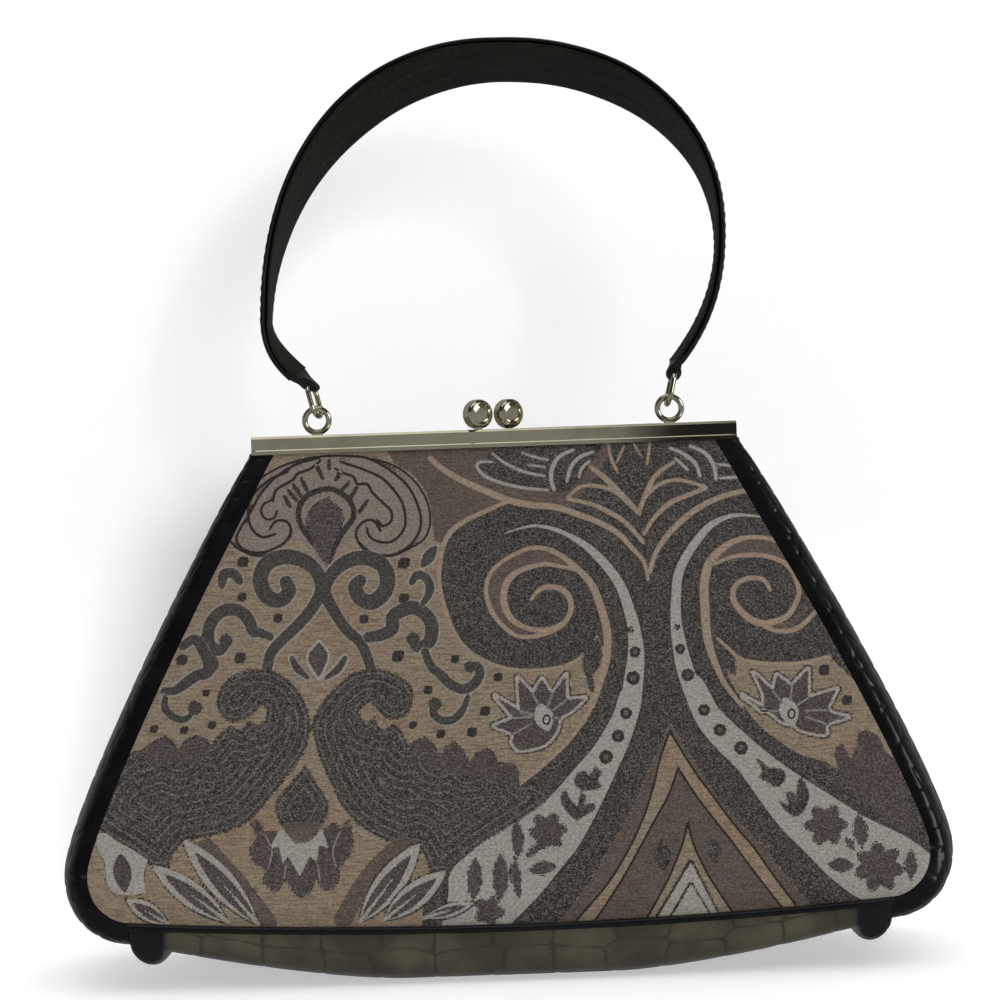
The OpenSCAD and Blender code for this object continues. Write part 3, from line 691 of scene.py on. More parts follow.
def paintHorns(loom):  # the two great scrolls and their flowered tails
    upperRib = [
        (430, 458), (444, 470), (465, 482), (488, 492), (508, 500), (531, 505), (554, 507), (577, 514),
        (600, 523), (619, 534), (632, 548), (644, 562), (648, 580)]
    loom.stroke("tan", upperRib, 5, 6.5, 6.5, 6, 5, 3)
    leftRim = [
        (508, 501), (488, 510), (465, 521), (449, 534), (441, 556), (440, 588), (452, 627), (466, 648),
        (488, 662), (511, 669), (534, 670), (559, 667), (577, 660), (590, 647)]
    loom.stroke("tan", leftRim, 4, 5, 4, 3, 3, 3)
    leftInlay = [
        (580, 571), (547, 550), (515, 555), (489, 577), (487, 595), (501, 624), (529, 637), (522, 626),
        (510, 617), (504, 603), (505, 587), (513, 575), (527, 568), (545, 564)]
    loom.fill("brown", leftInlay)
    leftCoil = [
        (592, 706), (602, 677), (607, 654), (607, 631), (601, 608), (593, 587), (580, 571), (563, 557),
        (547, 549), (531, 548), (515, 554), (499, 564), (489, 576), (486, 592), (491, 610), (501, 624),
        (515, 635), (529, 637), (545, 634), (561, 626), (570, 613), (570, 599), (561, 589), (547, 587),
        (538, 591), (531, 600)]
    loom.stroke("tan", leftCoil, 5, 8, 8, 7, 5, 4, 4, 4, 5, 4, 4, 5, 6, 5, 3)
    leftInnerCoil = [
        (580, 571), (563, 567), (545, 564), (527, 568), (513, 575), (505, 587), (504, 603), (510, 617),
        (522, 626), (536, 630), (550, 629), (561, 624)]
    loom.stroke("tan", leftInnerCoil, 3, 4, 5, 7, 7, 5, 5, 4)
    leftBarb, leftBarbTip = (597, 639, 587, 677, 17), (588, 670, 593, 694, 7)
    loom.leaf("dark", *leftBarb, 1.4)
    loom.leaf("dark", *leftBarbTip)
    leftTailRim = [(598, 694), (586, 716), (568, 742), (541, 767), (516, 787)]
    loom.stroke("tan", leftTailRim, 4, 3.4, 3)
    thin = [
        (505, 533), (531, 526), (550, 528), (568, 535), (586, 546), (603, 562), (619, 583), (628, 606),
        (634, 629), (636, 654), (634, 677), (631, 702)]
    spread = [2, 3, 4, 5, 7.5, 9.5, 10, 11, 13, 17, 19.5, 21]
    leftTail = [
        (622, 690), (613, 714), (594, 746), (575, 768), (548, 798), (518, 819), (480, 844), (451, 871),
        (448, 897), (440, 930, 1), (506, 930, 1), (516, 919), (537, 898), (559, 871), (580, 844), (602, 803),
        (616, 773), (632, 736), (642, 694)]
    loom.stroke("ink", thin, *[w + 3.4 for w in spread])
    loom.fill("grey", leftTail, 1.8)
    loom.stroke("grey", thin, *spread)
    thin = [
        (770, 518), (744, 515), (727, 517), (711, 525), (698, 539), (686, 557), (678, 576), (676, 599),
        (676, 620), (679, 642), (684, 665), (692, 688)]
    spread = [2, 3.5, 4.6, 7, 8.7, 9.2, 9.7, 10, 11.5, 14, 17, 19]
    rightTail = [
        (682, 674), (686, 698), (697, 724), (715, 747), (738, 770), (761, 802), (781, 828), (805, 852),
        (831, 878), (860, 899), (900, 916, 1), (940, 862, 1), (912, 840), (889, 828), (866, 817), (837, 799),
        (810, 782), (784, 765), (761, 747), (738, 727), (718, 707), (701, 678)]
    loom.stroke("ink", thin, *[w + 3.4 for w in spread])
    loom.fill("grey", rightTail, 1.8)
    loom.stroke("grey", thin, *spread)
    rightInlay = [
        (713, 562), (723, 549), (737, 541), (753, 538), (771, 540), (792, 552), (804, 574), (783, 562),
        (766, 556), (750, 555), (732, 557)]
    loom.fill("brown", rightInlay)
    rightShade = [(806, 608), (790, 624), (772, 627)]
    loom.stroke("brown", rightShade, 5)
    rightRim = [
        (742, 706), (725, 684), (716, 665), (709, 645), (706, 626), (705, 608), (704, 590), (706, 573),
        (711, 560), (723, 548), (737, 540), (753, 537), (771, 539), (786, 545)]
    loom.stroke("tan", rightRim, 4, 5, 7, 8.5, 9, 9, 9, 8, 6, 4.5, 4, 4)
    rightCoil = [
        (714, 564), (732, 557), (750, 555), (766, 556), (783, 562), (793, 573), (799, 590), (796, 603),
        (787, 616), (773, 622), (760, 623), (746, 616), (735, 603), (733, 592), (738, 583), (750, 578),
        (764, 580), (770, 590)]
    loom.stroke("tan", rightCoil, 3, 4.6, 4.6, 4.6, 5, 6, 7, 6, 5, 4.6, 3.6)
    rightOuterCoil = [(816, 611), (801, 626), (787, 631), (773, 630), (760, 624)]
    loom.stroke("tan", rightOuterCoil, 4, 5, 5, 4, 3)
    rightBarb = (716, 636, 735, 675, 14)
    loom.leaf("dark", *rightBarb, 1.2)
    starRim = [(717, 638), (727, 647), (741, 659), (760, 663), (783, 664), (806, 662), (830, 656)]
    loom.stroke("tan", starRim, 3, 4, 3.4)


def paintCrown(loom):  # the bud and petals at the top, and the feathers beside it
    petals = [
        ([(567, 498), (580, 487), (597, 486), (615, 492), (632, 507), (640, 514)], 4),
        ([(568, 499), (591, 504), (609, 512), (626, 523), (643, 542)], 5),
        ([(591, 467), (605, 478), (620, 493), (638, 512)], 6),
        ([(674, 462), (657, 474), (647, 491), (639, 512)], 5),
        ([(641, 508), (645, 498), (660, 484), (680, 480), (706, 487)], 4),
        ([(644, 534), (654, 518), (670, 503), (686, 496), (706, 488)], 5),
        ([(650, 572), (654, 557), (663, 541), (675, 527), (691, 513), (709, 502), (727, 495),
         (752, 489)], 6), ([(608, 444), (612, 461), (618, 472)], 3.4), ([(624, 446), (617, 462)], 3),
        ([(634, 444), (645, 466)], 3.4), ([(650, 443), (647, 464)], 3)]
    for line, width in petals:
        loom.stroke("tan", line, width * 0.7, width, width * 0.8)
    bud = [
        (629, 447, 1), (641, 458), (646, 471), (643, 486), (636, 499, 1), (625, 484), (620, 471), (622, 458)]
    loom.fill("dark", bud, 1.4)
    feathers = [
        ([(492, 462), (480, 462), (477, 467), (485, 476), (502, 483), (525, 488), (548, 490)], 3.4),
        ([(492, 453), (505, 463), (525, 472), (545, 476)], 3.2), ([(522, 453), (535, 457), (548, 460)], 2.8),
        ([(527, 465), (545, 467)], 2.6), ([(573, 450), (560, 456), (553, 466), (551, 478), (554, 490)], 4.4),
        ([(593, 452), (580, 457), (571, 467), (567, 481)], 4), ([(590, 461), (582, 468), (579, 477)], 3.2),
        ([(670, 448), (682, 453), (695, 463), (700, 476)], 4),
        ([(690, 446), (705, 453), (714, 466), (716, 479)], 4.4), ([(675, 458), (688, 470)], 3.2),
        ([(720, 478), (738, 477)], 3.2), ([(717, 464), (731, 466)], 2.8)]
    for line, width in feathers:
        loom.stroke("grey", line, width * 0.7, width, width * 0.8)


def paintChevrons(loom):
    outerBrown = [
        (670, 722, 1), (704, 776), (726, 808), (756, 840), (785, 874), (832, 930, 1), (550, 930, 1),
        (569, 909), (595, 873), (615, 838), (633, 807), (645, 779)]
    loom.fill("brown", outerBrown)
    outerGround = [
        (670, 731, 1), (680, 748), (695, 772), (713, 796), (733, 823), (755, 849), (774, 876), (815, 930, 1),
        (568, 930, 1), (587, 909), (605, 887), (625, 856), (642, 821), (653, 788), (660, 759)]
    loom.fill("ground", outerGround)
    innerBrown = [
        (678, 768, 1), (695, 794), (713, 818), (733, 843), (752, 869), (800, 930, 1), (588, 930, 1),
        (603, 909), (623, 878), (638, 851), (656, 818), (669, 794)]
    loom.fill("brown", innerBrown)
    innerGround = [
        (688, 822, 1), (693, 843), (704, 867), (717, 889), (745, 930, 1), (640, 930, 1), (656, 902),
        (671, 873), (682, 845)]
    loom.fill("ground", innerGround)
    tip = [(691, 862, 1), (726, 930, 1), (650, 930, 1)]
    loom.fill("grey", tip, 2.8)
    tipCore = [(691, 884, 1), (718, 930, 1), (664, 930, 1)]
    loom.fill("grey", tipCore, 2.6)
    loom.threads(2.2, innerBrown[6:] + innerBrown[:6], outerGround[8:9] + outerGround[10:] + outerGround[:8],
                 innerGround[5:] + innerGround[:5])
    seeds = [(662, 840, 663, 872, 17), (713, 838, 716, 864, 13)]
    for seed in seeds:
        loom.leaf("dark", *seed)


stars = [
    dict(eye=(544, 717),
         notches=[(514, 718), (520, 711), (533, 694), (552, 695), (566, 700), (559, 718), (513, 734)],
         outline=[(494, 726, 1), (514, 718, 1), (495, 696, 1), (520, 711, 1), (518, 678, 1), (533, 694, 1),
                  (542, 679, 1), (552, 695, 1), (566, 675, 1), (566, 700, 1), (585, 698, 1), (572, 710),
                  (559, 718, 1), (556, 732), (545, 744), (530, 749), (518, 750, 1), (512, 742), (513, 734)]),
    dict(eye=(789, 711),
         notches=[(762, 711), (773, 691), (792, 686), (808, 698), (828, 710), (827, 724)],
         outline=[(742, 695, 1), (762, 711, 1), (764, 696), (754, 673, 1), (773, 691, 1), (777, 675, 1),
                  (792, 686, 1), (808, 669, 1), (808, 698, 1), (837, 689, 1), (828, 710), (848, 717, 1),
                  (827, 724), (825, 734), (802, 730), (793, 724), (783, 722), (770, 712)])]


def paintStars(loom):  # outlined flowers with pointed petals, one by each scroll
    for star in stars:
        for layer, grow in (("ink", 4.8), ("grey", 3), ("maroon", 0)):
            loom.fill(layer, star["outline"], grow=grow)
        x, y = star["eye"]
        loom.threads(2, *[[(a, b), (a + (x - a) * 0.55, b + (y - b) * 0.55)] for a, b in star["notches"]])
        loom.leaf("grey", x - 5, y - 14, x + 5, y + 14, 19)
        curl = [(x - 1, y + 2), (x + 2, y - 2), (x + 6, y + 1), (x + 4, y + 7), (x, y + 6), (x - 1, y + 2)]
        loom.threads(1.8, curl)


def paintTailFlowers(loom):  # dots, leaves and blossoms along the grey tails
    tailDots = [
        (631, 630, 3.5), (635, 652, 6), (633, 678, 7.5), (626, 713, 6.5), (618, 736, 7), (606, 757, 7.5),
        (677, 627, 3.5), (680, 649, 5.5), (688, 675, 7), (704, 710, 6.5), (720, 730, 7), (741, 748, 7.5)]
    for x, y, r in tailDots:
        loom.dot("ink", x, y, r * 0.92)
        loom.dot("brown", x, y, r * 0.32)
    tailSprigs = [
        [(576, 776), (584, 771), (590, 776), (595, 768), (601, 772), (598, 780), (601, 787), (592, 790),
         (582, 790), (575, 784)],
        [(757, 760), (763, 762), (768, 768), (776, 768), (784, 772), (784, 781), (776, 787), (768, 782),
         (760, 778), (762, 770)],
        [(565, 790), (570, 799), (578, 806), (580, 794), (586, 796), (584, 805), (594, 803), (594, 810),
         (586, 814), (577, 820), (567, 812), (561, 800)],
        [(779, 801), (789, 805), (786, 794), (792, 792), (796, 802), (797, 790), (800, 778), (808, 789),
         (808, 802), (798, 816), (787, 812)]]
    for points in tailSprigs:
        loom.fill("dark", points, 1)
    tailBlossoms = [(548, 831, 19, 6), (826, 825, 21, 6), (879, 867, 25, 7), (489, 911, 15, 5)]
    for x, y, r, count in tailBlossoms:
        loom.petals("ink", x, y, r + 1, count, 0.3, r)
        loom.petals("maroon", x, y, r - 1, count, 0.3, r)
    tailLeaves = [
        (517, 821, 518, 858, 14), (514, 858, 519, 898, 11), (529, 871, 556, 865, 16), (526, 858, 541, 843, 9),
        (501, 854, 500, 900, 19), (476, 858, 473, 900, 18), (846, 838, 854, 850, 7), (859, 815, 862, 847, 17),
        (828, 865, 854, 865, 17), (911, 850, 911, 880, 14)]
    for x0, y0, x1, y1, width in tailLeaves:
        loom.leaf("maroon", x0, y0, x1, y1, width * 0.8, 1.4)


paintSteps = [paintFields, paintChevrons, paintHorns, paintCrown, paintPalmette, paintVolutes, paintHooks,
              paintPaisleys, paintThistle, paintStars, paintTailFlowers, paintLeaves]


def weaveDesign(grid):
    loom = Loom(toDesign(*np.moveaxis(grid, -1, 0)).reshape(-1, 2))
    for step in paintSteps:
        step(loom)
    fields = dict(loom.layers, depth=loom.depth, lineSide=loom.lineSide, lineNear=loom.lineNear)
    return {name: values.reshape(grid.shape[:2]) for name, values in fields.items()}


yarns = dict(
    ground=(130, 119, 102), groundDeep=(90, 79, 68), peach=(131, 114, 95), brown=(84, 74, 65),
    dark=(38, 35, 32), slate=(53, 50, 48), taupe=(116, 107, 98), grey=(140, 136, 129), maroon=(60, 52, 51),
    tan=(134, 119, 103), ink=(40, 36, 34), fleck=(116, 110, 106))
fleckShares = dict(brown=0.3, dark=0.6, slate=0.3, maroon=0.45, ink=0.2)
jacquard = dict(
    threadU=0.42, threadV=0.3, ragged=0.8, edge=0.45, cloud=(0.03, 0.03, 0), cloudFrom=(0.4, 0.7),
    streak=(0.16, 1.5, 0), streakFrom=(0.4, 0.66), streakShare=0.75, brownFrom=(0.42, 0.66), brownShare=0.6,
    nestPitch=8, nestLine=(0.07, 0.15), nestShare=0.16, nestSpread=0.4, lineWidth=(0.7, 1.3),
    lineReach=(0.8, 1.9), slub=(0.9, 1.3, 0), slubFrom=(0.3, 0.7), shade=0.4, chanceShade=0.4,
    streakShade=0.3, slubShade=0.34, deepYarns=("dark", "slate", "maroon", "ink"), rough=0.8)


def jacquardFinish():
    material, wire = newFinish("wovenJacquard")
    look, yarn = jacquard, {name: screenColour(*colour) for name, colour in yarns.items()}
    place = wire.field("restPlace", "Vector")
    u = wire.node("SeparateXYZ", None, {"Vector": place})
    cellU, cellV = u * (1 / look["threadU"]), u.other(1) * (1 / look["threadV"])
    cell = wire.node("CombineXYZ", None, {0: wire.maths("FLOOR", cellU), 1: wire.maths("FLOOR", cellV)})
    chance = wire.node("TexWhiteNoise", dict(noise_dimensions="2D"), {"Vector": cell})
    streak = place.stretched(*look["streak"]).noise(1.0, 3.0, 0.65)  # uneven weft threads
    cloud = place.stretched(*look["cloud"]).noise(1.0, 2.0)
    slub = place.stretched(*look["slub"]).noise(1.0, 2.0, 0.6)  # thick and thin yarn
    wander = (chance - 0.5) * look["ragged"]
    colour = cloud.step(*look["cloudFrom"]).colour(yarn["ground"], yarn["peach"])
    colour = (streak.step(*look["streakFrom"]) * look["streakShare"]).colour(colour, yarn["groundDeep"])
    floats = chance ** 2.0
    nest = wire.maths("ABSOLUTE", wire.maths("FRACT", wire.field("depth") * (1 / look["nestPitch"])) - 0.5)
    nest = 1 - nest.step(*look["nestLine"])
    deep = 0 * chance  # share of dark cloth under the fine lines
    for name in layerNames:
        mask = (0.0 - (wire.field(name) + wander)).step(-look["edge"], look["edge"])
        own = yarn[name]
        if name in fleckShares:
            own = (floats * fleckShares[name]).colour(own, yarn["fleck"])
        if name == "dark":
            own = (nest * (look["nestShare"] + look["nestSpread"] * chance)).colour(own, yarn["fleck"])
        if name == "brown":
            own = (streak.step(*look["brownFrom"]) * look["brownShare"]).colour(own, yarn["maroon"])
        colour = mask.colour(colour, own)
        deep = deep + mask * ((name in look["deepYarns"]) - deep)
    thread = wire.maths("ABSOLUTE", wire.field("lineSide")) + wander * 0.3
    fine = (1 - thread.step(*look["lineWidth"])) * (1 - wire.field("lineNear").step(*look["lineReach"]))
    colour = fine.colour(colour, deep.colour(yarn["ink"], yarn["fleck"]))
    shade = chance * look["chanceShade"] + streak * look["streakShade"]
    shade = shade + slub.step(*look["slubFrom"]) * look["slubShade"] + look["shade"]
    colour = wire.node("VectorMath", dict(operation="SCALE"), {0: colour, 3: shade})
    weft = wire.maths("SINE", cellV * (2 * math.pi))
    warp = wire.maths("SINE", cellU * (2 * math.pi))
    height = weft * 0.5 + warp * weft * 0.35 + chance * 0.5
    closeFinish(wire, Base_Color=colour, Roughness=look["rough"] + chance * 0.12,
                Normal=height.bump(0.00005, 0.6), Specular_IOR_Level=0.2, Sheen_Weight=0.03,
                Sheen_Roughness=0.5)
    return material


# sunk is painted shade: a darker colour laid into the grooves between the scales
crocFinishes = dict(
    black=dict(colour=(6, 6, 7), worn=(13, 14, 15), sunk=(4, 4, 5), rough=0.26, coat=0.25, shine=0.12),
    olive=dict(colour=(55, 52, 42), worn=(78, 73, 60), sunk=(44, 42, 34), rough=0.4, coat=0.2, shine=0.2))

crocGrain = dict(
    pores=(3.2, 3.0, 0.6), haze=(0.05, 3.0, 0.55), creaseWay=(1.0, 0.35, 1.0), creases=(0.8, 4.0, 0.6),
    wornFrom=(0.35, 0.75), grooveShadeFrom=(-0.12, 0.02), coatFrom=(0.2, 0.6), coatRough=0.08, bump=(0.00025, 0.5))


def crocFinish(name, look):
    material, wire = newFinish(name)
    place = wire.field("restPlace", "Vector")
    height = wire.field("relief")
    pores = place.noise(*crocGrain["pores"])
    haze = place.noise(*crocGrain["haze"])
    creases = place.stretched(*crocGrain["creaseWay"]).noise(*crocGrain["creases"])
    worn = haze.step(*crocGrain["wornFrom"])
    colour = worn.colour(screenColour(*look["colour"]), screenColour(*look["worn"]))
    # painted shade: the grooves between the scales take the darker sunk colour
    colour = height.step(*crocGrain["grooveShadeFrom"]).colour(screenColour(*look["sunk"]), colour)
    endColour = screenColour(*crocFinishes["black"]["worn"])  # the base's ends are black
    colour = wire.field("rolled").colour(colour, endColour)
    closeFinish(wire, Base_Color=colour, Roughness=look["rough"] + haze * 0.12 - height * 0.08,
                Coat_Weight=look["coat"] * (0.7 + 0.3 * haze.step(*crocGrain["coatFrom"])),
                Coat_Roughness=crocGrain["coatRough"], Specular_IOR_Level=look["shine"],
                Normal=(pores * 0.25 + creases).bump(*crocGrain["bump"]))
    return material


strapLook = dict(
    outer=(12, 12, 12), inner=(26, 23, 18), worn=(46, 42, 34), fibreWay=(0.12, 1.4, 1.4),
    fibres=(1.0, 4.0, 0.6), pores=(2.2, 3.0, 0.6), scuffWay=(0.05, 0.5, 0.5), scuffs=(1.0, 3.0),
    fibreFrom=(0.45, 0.75), scuffFrom=(0.4, 0.75), coatFrom=(0.3, 0.6), coatRough=0.2)


def strapFinish(name, colourName, rough, grain, shine):
    material, wire = newFinish(name)
    place = wire.field("restPlace", "Vector")
    look = strapLook
    fibres = place.stretched(*look["fibreWay"]).noise(*look["fibres"])
    pores = place.noise(*look["pores"])
    scuffs = place.stretched(*look["scuffWay"]).noise(*look["scuffs"])
    worn = fibres.step(*look["fibreFrom"]) * scuffs.step(*look["scuffFrom"])
    colour = worn.colour(screenColour(*look[colourName]), screenColour(*look["worn"]))
    closeFinish(wire, Base_Color=colour, Roughness=rough + 0.15 * scuffs,
                Coat_Weight=shine * scuffs.step(*look["coatFrom"]), Coat_Roughness=look["coatRough"],
                Specular_IOR_Level=shine, Normal=(fibres + pores * 0.5).bump(grain, 0.6))
    return material


nickelLook = dict(
    colour=(190, 186, 164), dull=(172, 167, 146), dullShare=0.6, dullFrom=(0.42, 0.7), rough=0.05,
    haze=(55.0, 3.0, 0.55), hazeRough=0.06, hazeFrom=(0.45, 0.75), rubWay=(0.1, 1, 1), rubs=(900.0, 2.0))


def nickelFinish():
    material, wire = newFinish("polishedNickel")
    place = wire.node("TexCoord", None, None, "Object")
    look = nickelLook
    haze = place.stretched(1, 1, 1).noise(*look["haze"])
    rubs = place.stretched(*look["rubWay"]).noise(*look["rubs"])
    bright, dull = screenColour(*look["colour"]), screenColour(*look["dull"])
    colour = (haze.step(*look["dullFrom"]) * look["dullShare"]).colour(bright, dull)
    closeFinish(wire, Base_Color=colour, Metallic=1.0,
                Roughness=look["rough"] + haze.step(*look["hazeFrom"]) * look["hazeRough"],
                Normal=rubs.bump(0.00002, 0.25))
    return material


def plainFinish(name, light, deep, rough, stretch, scale):
    material, wire = newFinish(name)
    place = wire.node("TexCoord", None, None, "Object").stretched(*stretch)
    grain = place.noise(scale, 4.0, 0.6)
    colour = grain.step(0.35, 0.65).colour(screenColour(*light), screenColour(*deep))
    closeFinish(wire, Base_Color=colour, Roughness=rough + grain * 0.1, Normal=grain.bump(0.0002, 0.5))
    return material


jacquardCloth = jacquardFinish()
blackCroc = crocFinish("blackCroc", crocFinishes["black"])
oliveCroc = crocFinish("oliveCroc", crocFinishes["olive"])
strapOuterSkin = strapFinish("strapSkin", "outer", 0.36, 0.0003, 0.22)
strapInnerSkin = strapFinish("strapBacking", "inner", 0.55, 0.0004, 0.07)
nickel = nickelFinish()
satin = plainFinish("liningSatin", (66, 56, 50), (50, 42, 38), 0.42, (1, 1, 0.15), 160.0)
greyBoard = plainFinish("greyBoard", (150, 134, 110), (120, 106, 86), 0.85, (1, 1, 1), 300.0)
kraftCord = plainFinish("kraftCord", (168, 142, 104), (132, 108, 76), 0.8, (0.2, 1, 1), 700.0)
threadFinish = plainFinish("stitchThread", (40, 36, 31), (26, 23, 20), 0.6, (1, 1, 1), 2500.0)
print("finishes wired")


# Cloth faces, front and back, with the design woven in
face = dict(rows=249, cols=369, backRows=185, backCols=261, step=4, swell=0.7, ripple=0.35,
            rippleSize=26, rippleSeed=1.7, pucker=0.28, puckerReach=40, puckerRate=0.55)


def faceGrid(rows, cols):
    stations = sideStations(200)
    seam = stations[:, :2] + stations[:, 2:4] * stations[:, 5:6]  # sewn to the leather band
    table = np.column_stack([seam, stations[:, 4]])
    table = np.concatenate([[[seam[0, 0], bag["frameTopZ"], bag["panelY"]]], table])
    even = evenRows(table, rows)[0]
    edgeX, edgeZ, depth = (even[:, k:k + 1] for k in range(3))
    f = np.linspace(-1, 1, cols)[None, :]
    x = edgeX * f
    v = clip01((bag["topZ"] - edgeZ) / (bag["topZ"] - bag["seamEndZ"]))
    swell = bag["crown"] * (1 - f * f) ** face["swell"] * np.sin(np.pi * v ** 0.8) ** face["swell"]
    z = edgeZ + (bottomSeam(x) - bag["seamEndZ"]) * ease(clip01(3 * v - 2))
    inside = clip01((1 - np.abs(f)) * 14) * np.sin(np.pi * v) ** 0.5
    size = face["rippleSize"]
    swell = swell + face["ripple"] * inside * ripple(x / size, z / size, face["rippleSeed"])
    fromSeam = np.minimum((1 - np.abs(f)) * edgeX, z - bottomSeam(x))
    hold = np.exp(-clip01(fromSeam / face["puckerReach"]) * 5) * clip01(fromSeam / 3) * clip01(v * 8)
    swell = swell + face["pucker"] * hold * np.sin((x + z) * face["puckerRate"] + 2 * np.sin(x * 0.13))
    return np.stack([x, -(depth + swell), z], -1)


def makeFace(name, rows, cols, back):
    grid = faceGrid(rows, cols)
    fields = weaveDesign(grid)
    normals = surfaceNormals(grid)
    inner = grid + normals * np.where(normals[..., 1:2] > 0, 1, -1) * bag["clothT"]
    fields["restPlace"] = grid[..., [0, 2, 1]]
    turn = np.array([-1, -1, 1]) if back else np.array([1, 1, 1])
    thin = inner[::face["step"], ::face["step"]]
    return thickSheet(name, grid * turn, thin * turn, jacquardCloth, fields)


frontCloth = makeFace("frontCloth", face["rows"], face["cols"], False)
backCloth = makeFace("backCloth", face["backRows"], face["backCols"], True)
for cloth, node, half in ((frontCloth, "front_panel", "front_half"), (backCloth, "back_panel", "back_half")):
    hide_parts(node)
    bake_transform(cloth)
print("cloth faces woven")


# Leather sides, each in a front and a back half
side = dict(rows=289, cols=161, step=4, long=8.6, wide=7, jitter=0.85, groove=1.0, rise=0.22, round=0.5,
            lap=1.0, fade=5, seed=5)


def reliefOn(grid, u, v, scales, edgeFade):
    relief = scaleRelief(u, v, scales) * edgeFade
    normals = surfaceNormals(grid)
    middle = grid.reshape(-1, 3).mean(0)
    outward = np.sign(np.sum((grid - middle) * normals, -1).mean())
    return grid + normals * outward * relief[..., None], relief


def makeGusset(mirror):
    stations, along = evenRows(sideStations(240), side["rows"])
    flat = np.zeros(len(stations))
    angle, across = stripGrid(stations, side["cols"], flat)
    outer = stripPoint(stations, angle, 0, flat)
    inner = stripPoint(stations, angle, bag["leatherT"], flat)
    for grid in (outer, inner):
        grid[0, :, 2] += side["lap"]  # up behind the frame
    u = np.repeat(along[:, None], side["cols"], 1)
    fromEdge = across[:, -1:] - np.abs(across)
    raised, relief = reliefOn(outer, u, across, dict(side, seed=side["seed"] + 3 * mirror),
                              clip01(fromEdge / side["fade"]))
    flip = np.array([-1, 1, 1]) if mirror else np.array([1, 1, 1])
    middle, step = side["cols"] // 2, side["step"]
    name = "left" if mirror else "right"
    halves = [("Front", slice(0, middle + 1), "front_half"), ("Back", slice(middle, None), "back_half")]
    for part, cols, half in halves:
        fields = dict(relief=relief[:, cols], restPlace=np.stack([u, across, 0 * u], -1)[:, cols])
        within = (inner[:, cols] * flip)[::step, ::step]
        piece = thickSheet(name + "Side" + part, raised[:, cols] * flip, within, blackCroc, fields)
        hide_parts(name + "_gusset")
        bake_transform(piece)


makeGusset(False)
makeGusset(True)
print("leather sides made")


# Leather base with rolled ends
base = dict(rows=329, cols=145, step=4, long=19, wide=12.5, jitter=0.5, groove=0.9, rise=0.2, round=0.25,
            roll=13, fade=2.5, seed=2)


def makeBase():
    fine = np.linspace(-bag["endX"] + bag["gap"], bag["endX"] - bag["gap"], 2001)
    reach = 1 - ((np.abs(fine) - bag["rollX"]) / bag["rollR"]) ** 2
    bulge = bag["rollR"] * np.sqrt(np.maximum(0, reach))
    z = baseRise(fine)
    table = np.column_stack([fine, z - bulge, fine, z, bulge])
    even, along = evenRows(table, base["rows"])
    x, rise, bulge = even[:, 2], even[:, 3], even[:, 4]
    ones = np.ones_like(x)
    stations = stationsOf(np.stack([x, rise], 1), np.stack([0 * x, ones], 1), bag["halfDepth"] * ones,
                          bottomSeam(x) - rise, 5 * ones)
    angle, across = stripGrid(stations, base["cols"], bulge)
    outer = stripPoint(stations, angle, 0, bulge)
    inner = stripPoint(stations, angle, bag["leatherT"], bulge)
    u = np.repeat(along[:, None], base["cols"], 1)
    fromEnd = np.minimum(u, along[-1] - u)
    fade = clip01((across[:, -1:] - np.abs(across)) / base["fade"]) * clip01(fromEnd / base["fade"])
    relief = scaleRelief(u, across, base) * fade
    up = surfaceNormals(outer)
    up = up * np.where(up[..., 2:3] > 0, 1, -1)
    raised = outer - up * relief[..., None]
    raised[..., 2] = np.maximum(raised[..., 2], 0)
    step = base["step"]
    rolled = ease(clip01((np.abs(outer[..., 0]) - bag["endX"] + base["roll"]) / 2))
    fields = dict(relief=relief, rolled=rolled, restPlace=np.stack([u, across, 0 * u], -1))
    piece = thickSheet("baseSkin", raised, inner[::step, ::step], oliveCroc, fields)
    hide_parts("base_panel")
    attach(piece, "bag")


makeBase()


# Piping along the two bottom seams
piping = dict(radius=1.2, rows=240, sides=14, clear=0.1)


def makePiping(name, node, toBack):
    x = np.linspace(-bag["endX"], bag["endX"], piping["rows"])
    a = np.linspace(0, 2 * np.pi, piping["sides"], endpoint=False)
    r = piping["radius"] * (1 + 0.035 * np.sin(x * 1.1) + 0.025 * np.sin(x * 0.37 + 1))[:, None]
    y = bag["halfDepth"] + piping["radius"] + piping["clear"]
    rings = np.stack([np.repeat(x[:, None], len(a), 1), toBack * (y + r * np.cos(a)),
                      bottomSeam(x)[:, None] - piping["radius"] + r * np.sin(a)], -1)
    count = rings.shape[0] * rings.shape[1] + 2
    own = np.concatenate([rings.reshape(-1, 3), rings[[0, -1]].mean(1)])
    piece = tubePiece(name, rings, blackCroc, dict(relief=np.zeros(count), restPlace=own))
    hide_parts(node)
    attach(piece, "bag")


makePiping("frontWelt", "front_piping", -1)
makePiping("backWelt", "back_piping", 1)
print("base and piping made")


# Lining pouch in two halves, front and back
pouch = dict(floorZ=4.4, foot=25, inset=3.6, sides=97, levels=81, floorRows=13, thick=0.8, power=3.4,
             armX=74.8, armDrop=13, flare=1.15, clear=0.3, tuck=0.22, folds=0.3, foldX=9, foldZ=40, foldFrom=20)


def pouchX(z):
    t = np.linspace(0, 1, 200)
    curve = sideAt(t)
    zz = z - pouch["inset"]
    drop = bag["wideZ"] - bag["lift"]
    low = bag["endX"] + bag["cornerRun"] * np.sqrt(clip01(1 - ((bag["wideZ"] - zz) / drop) ** 2))
    under = blendNumbers(bag["flatHalf"], bag["endX"], clip01(zz / bag["lift"]) ** (2 / 3))
    high = np.interp(zz, curve[::-1, 1], curve[::-1, 0])
    outline = np.where(zz > bag["wideZ"], high, np.where(zz > bag["lift"], low, under))
    arm = pouch["armX"] + pouch["flare"] * np.maximum(0, bag["hingeZ"] - pouch["armDrop"] - z)
    return np.minimum(outline - pouch["inset"], arm)


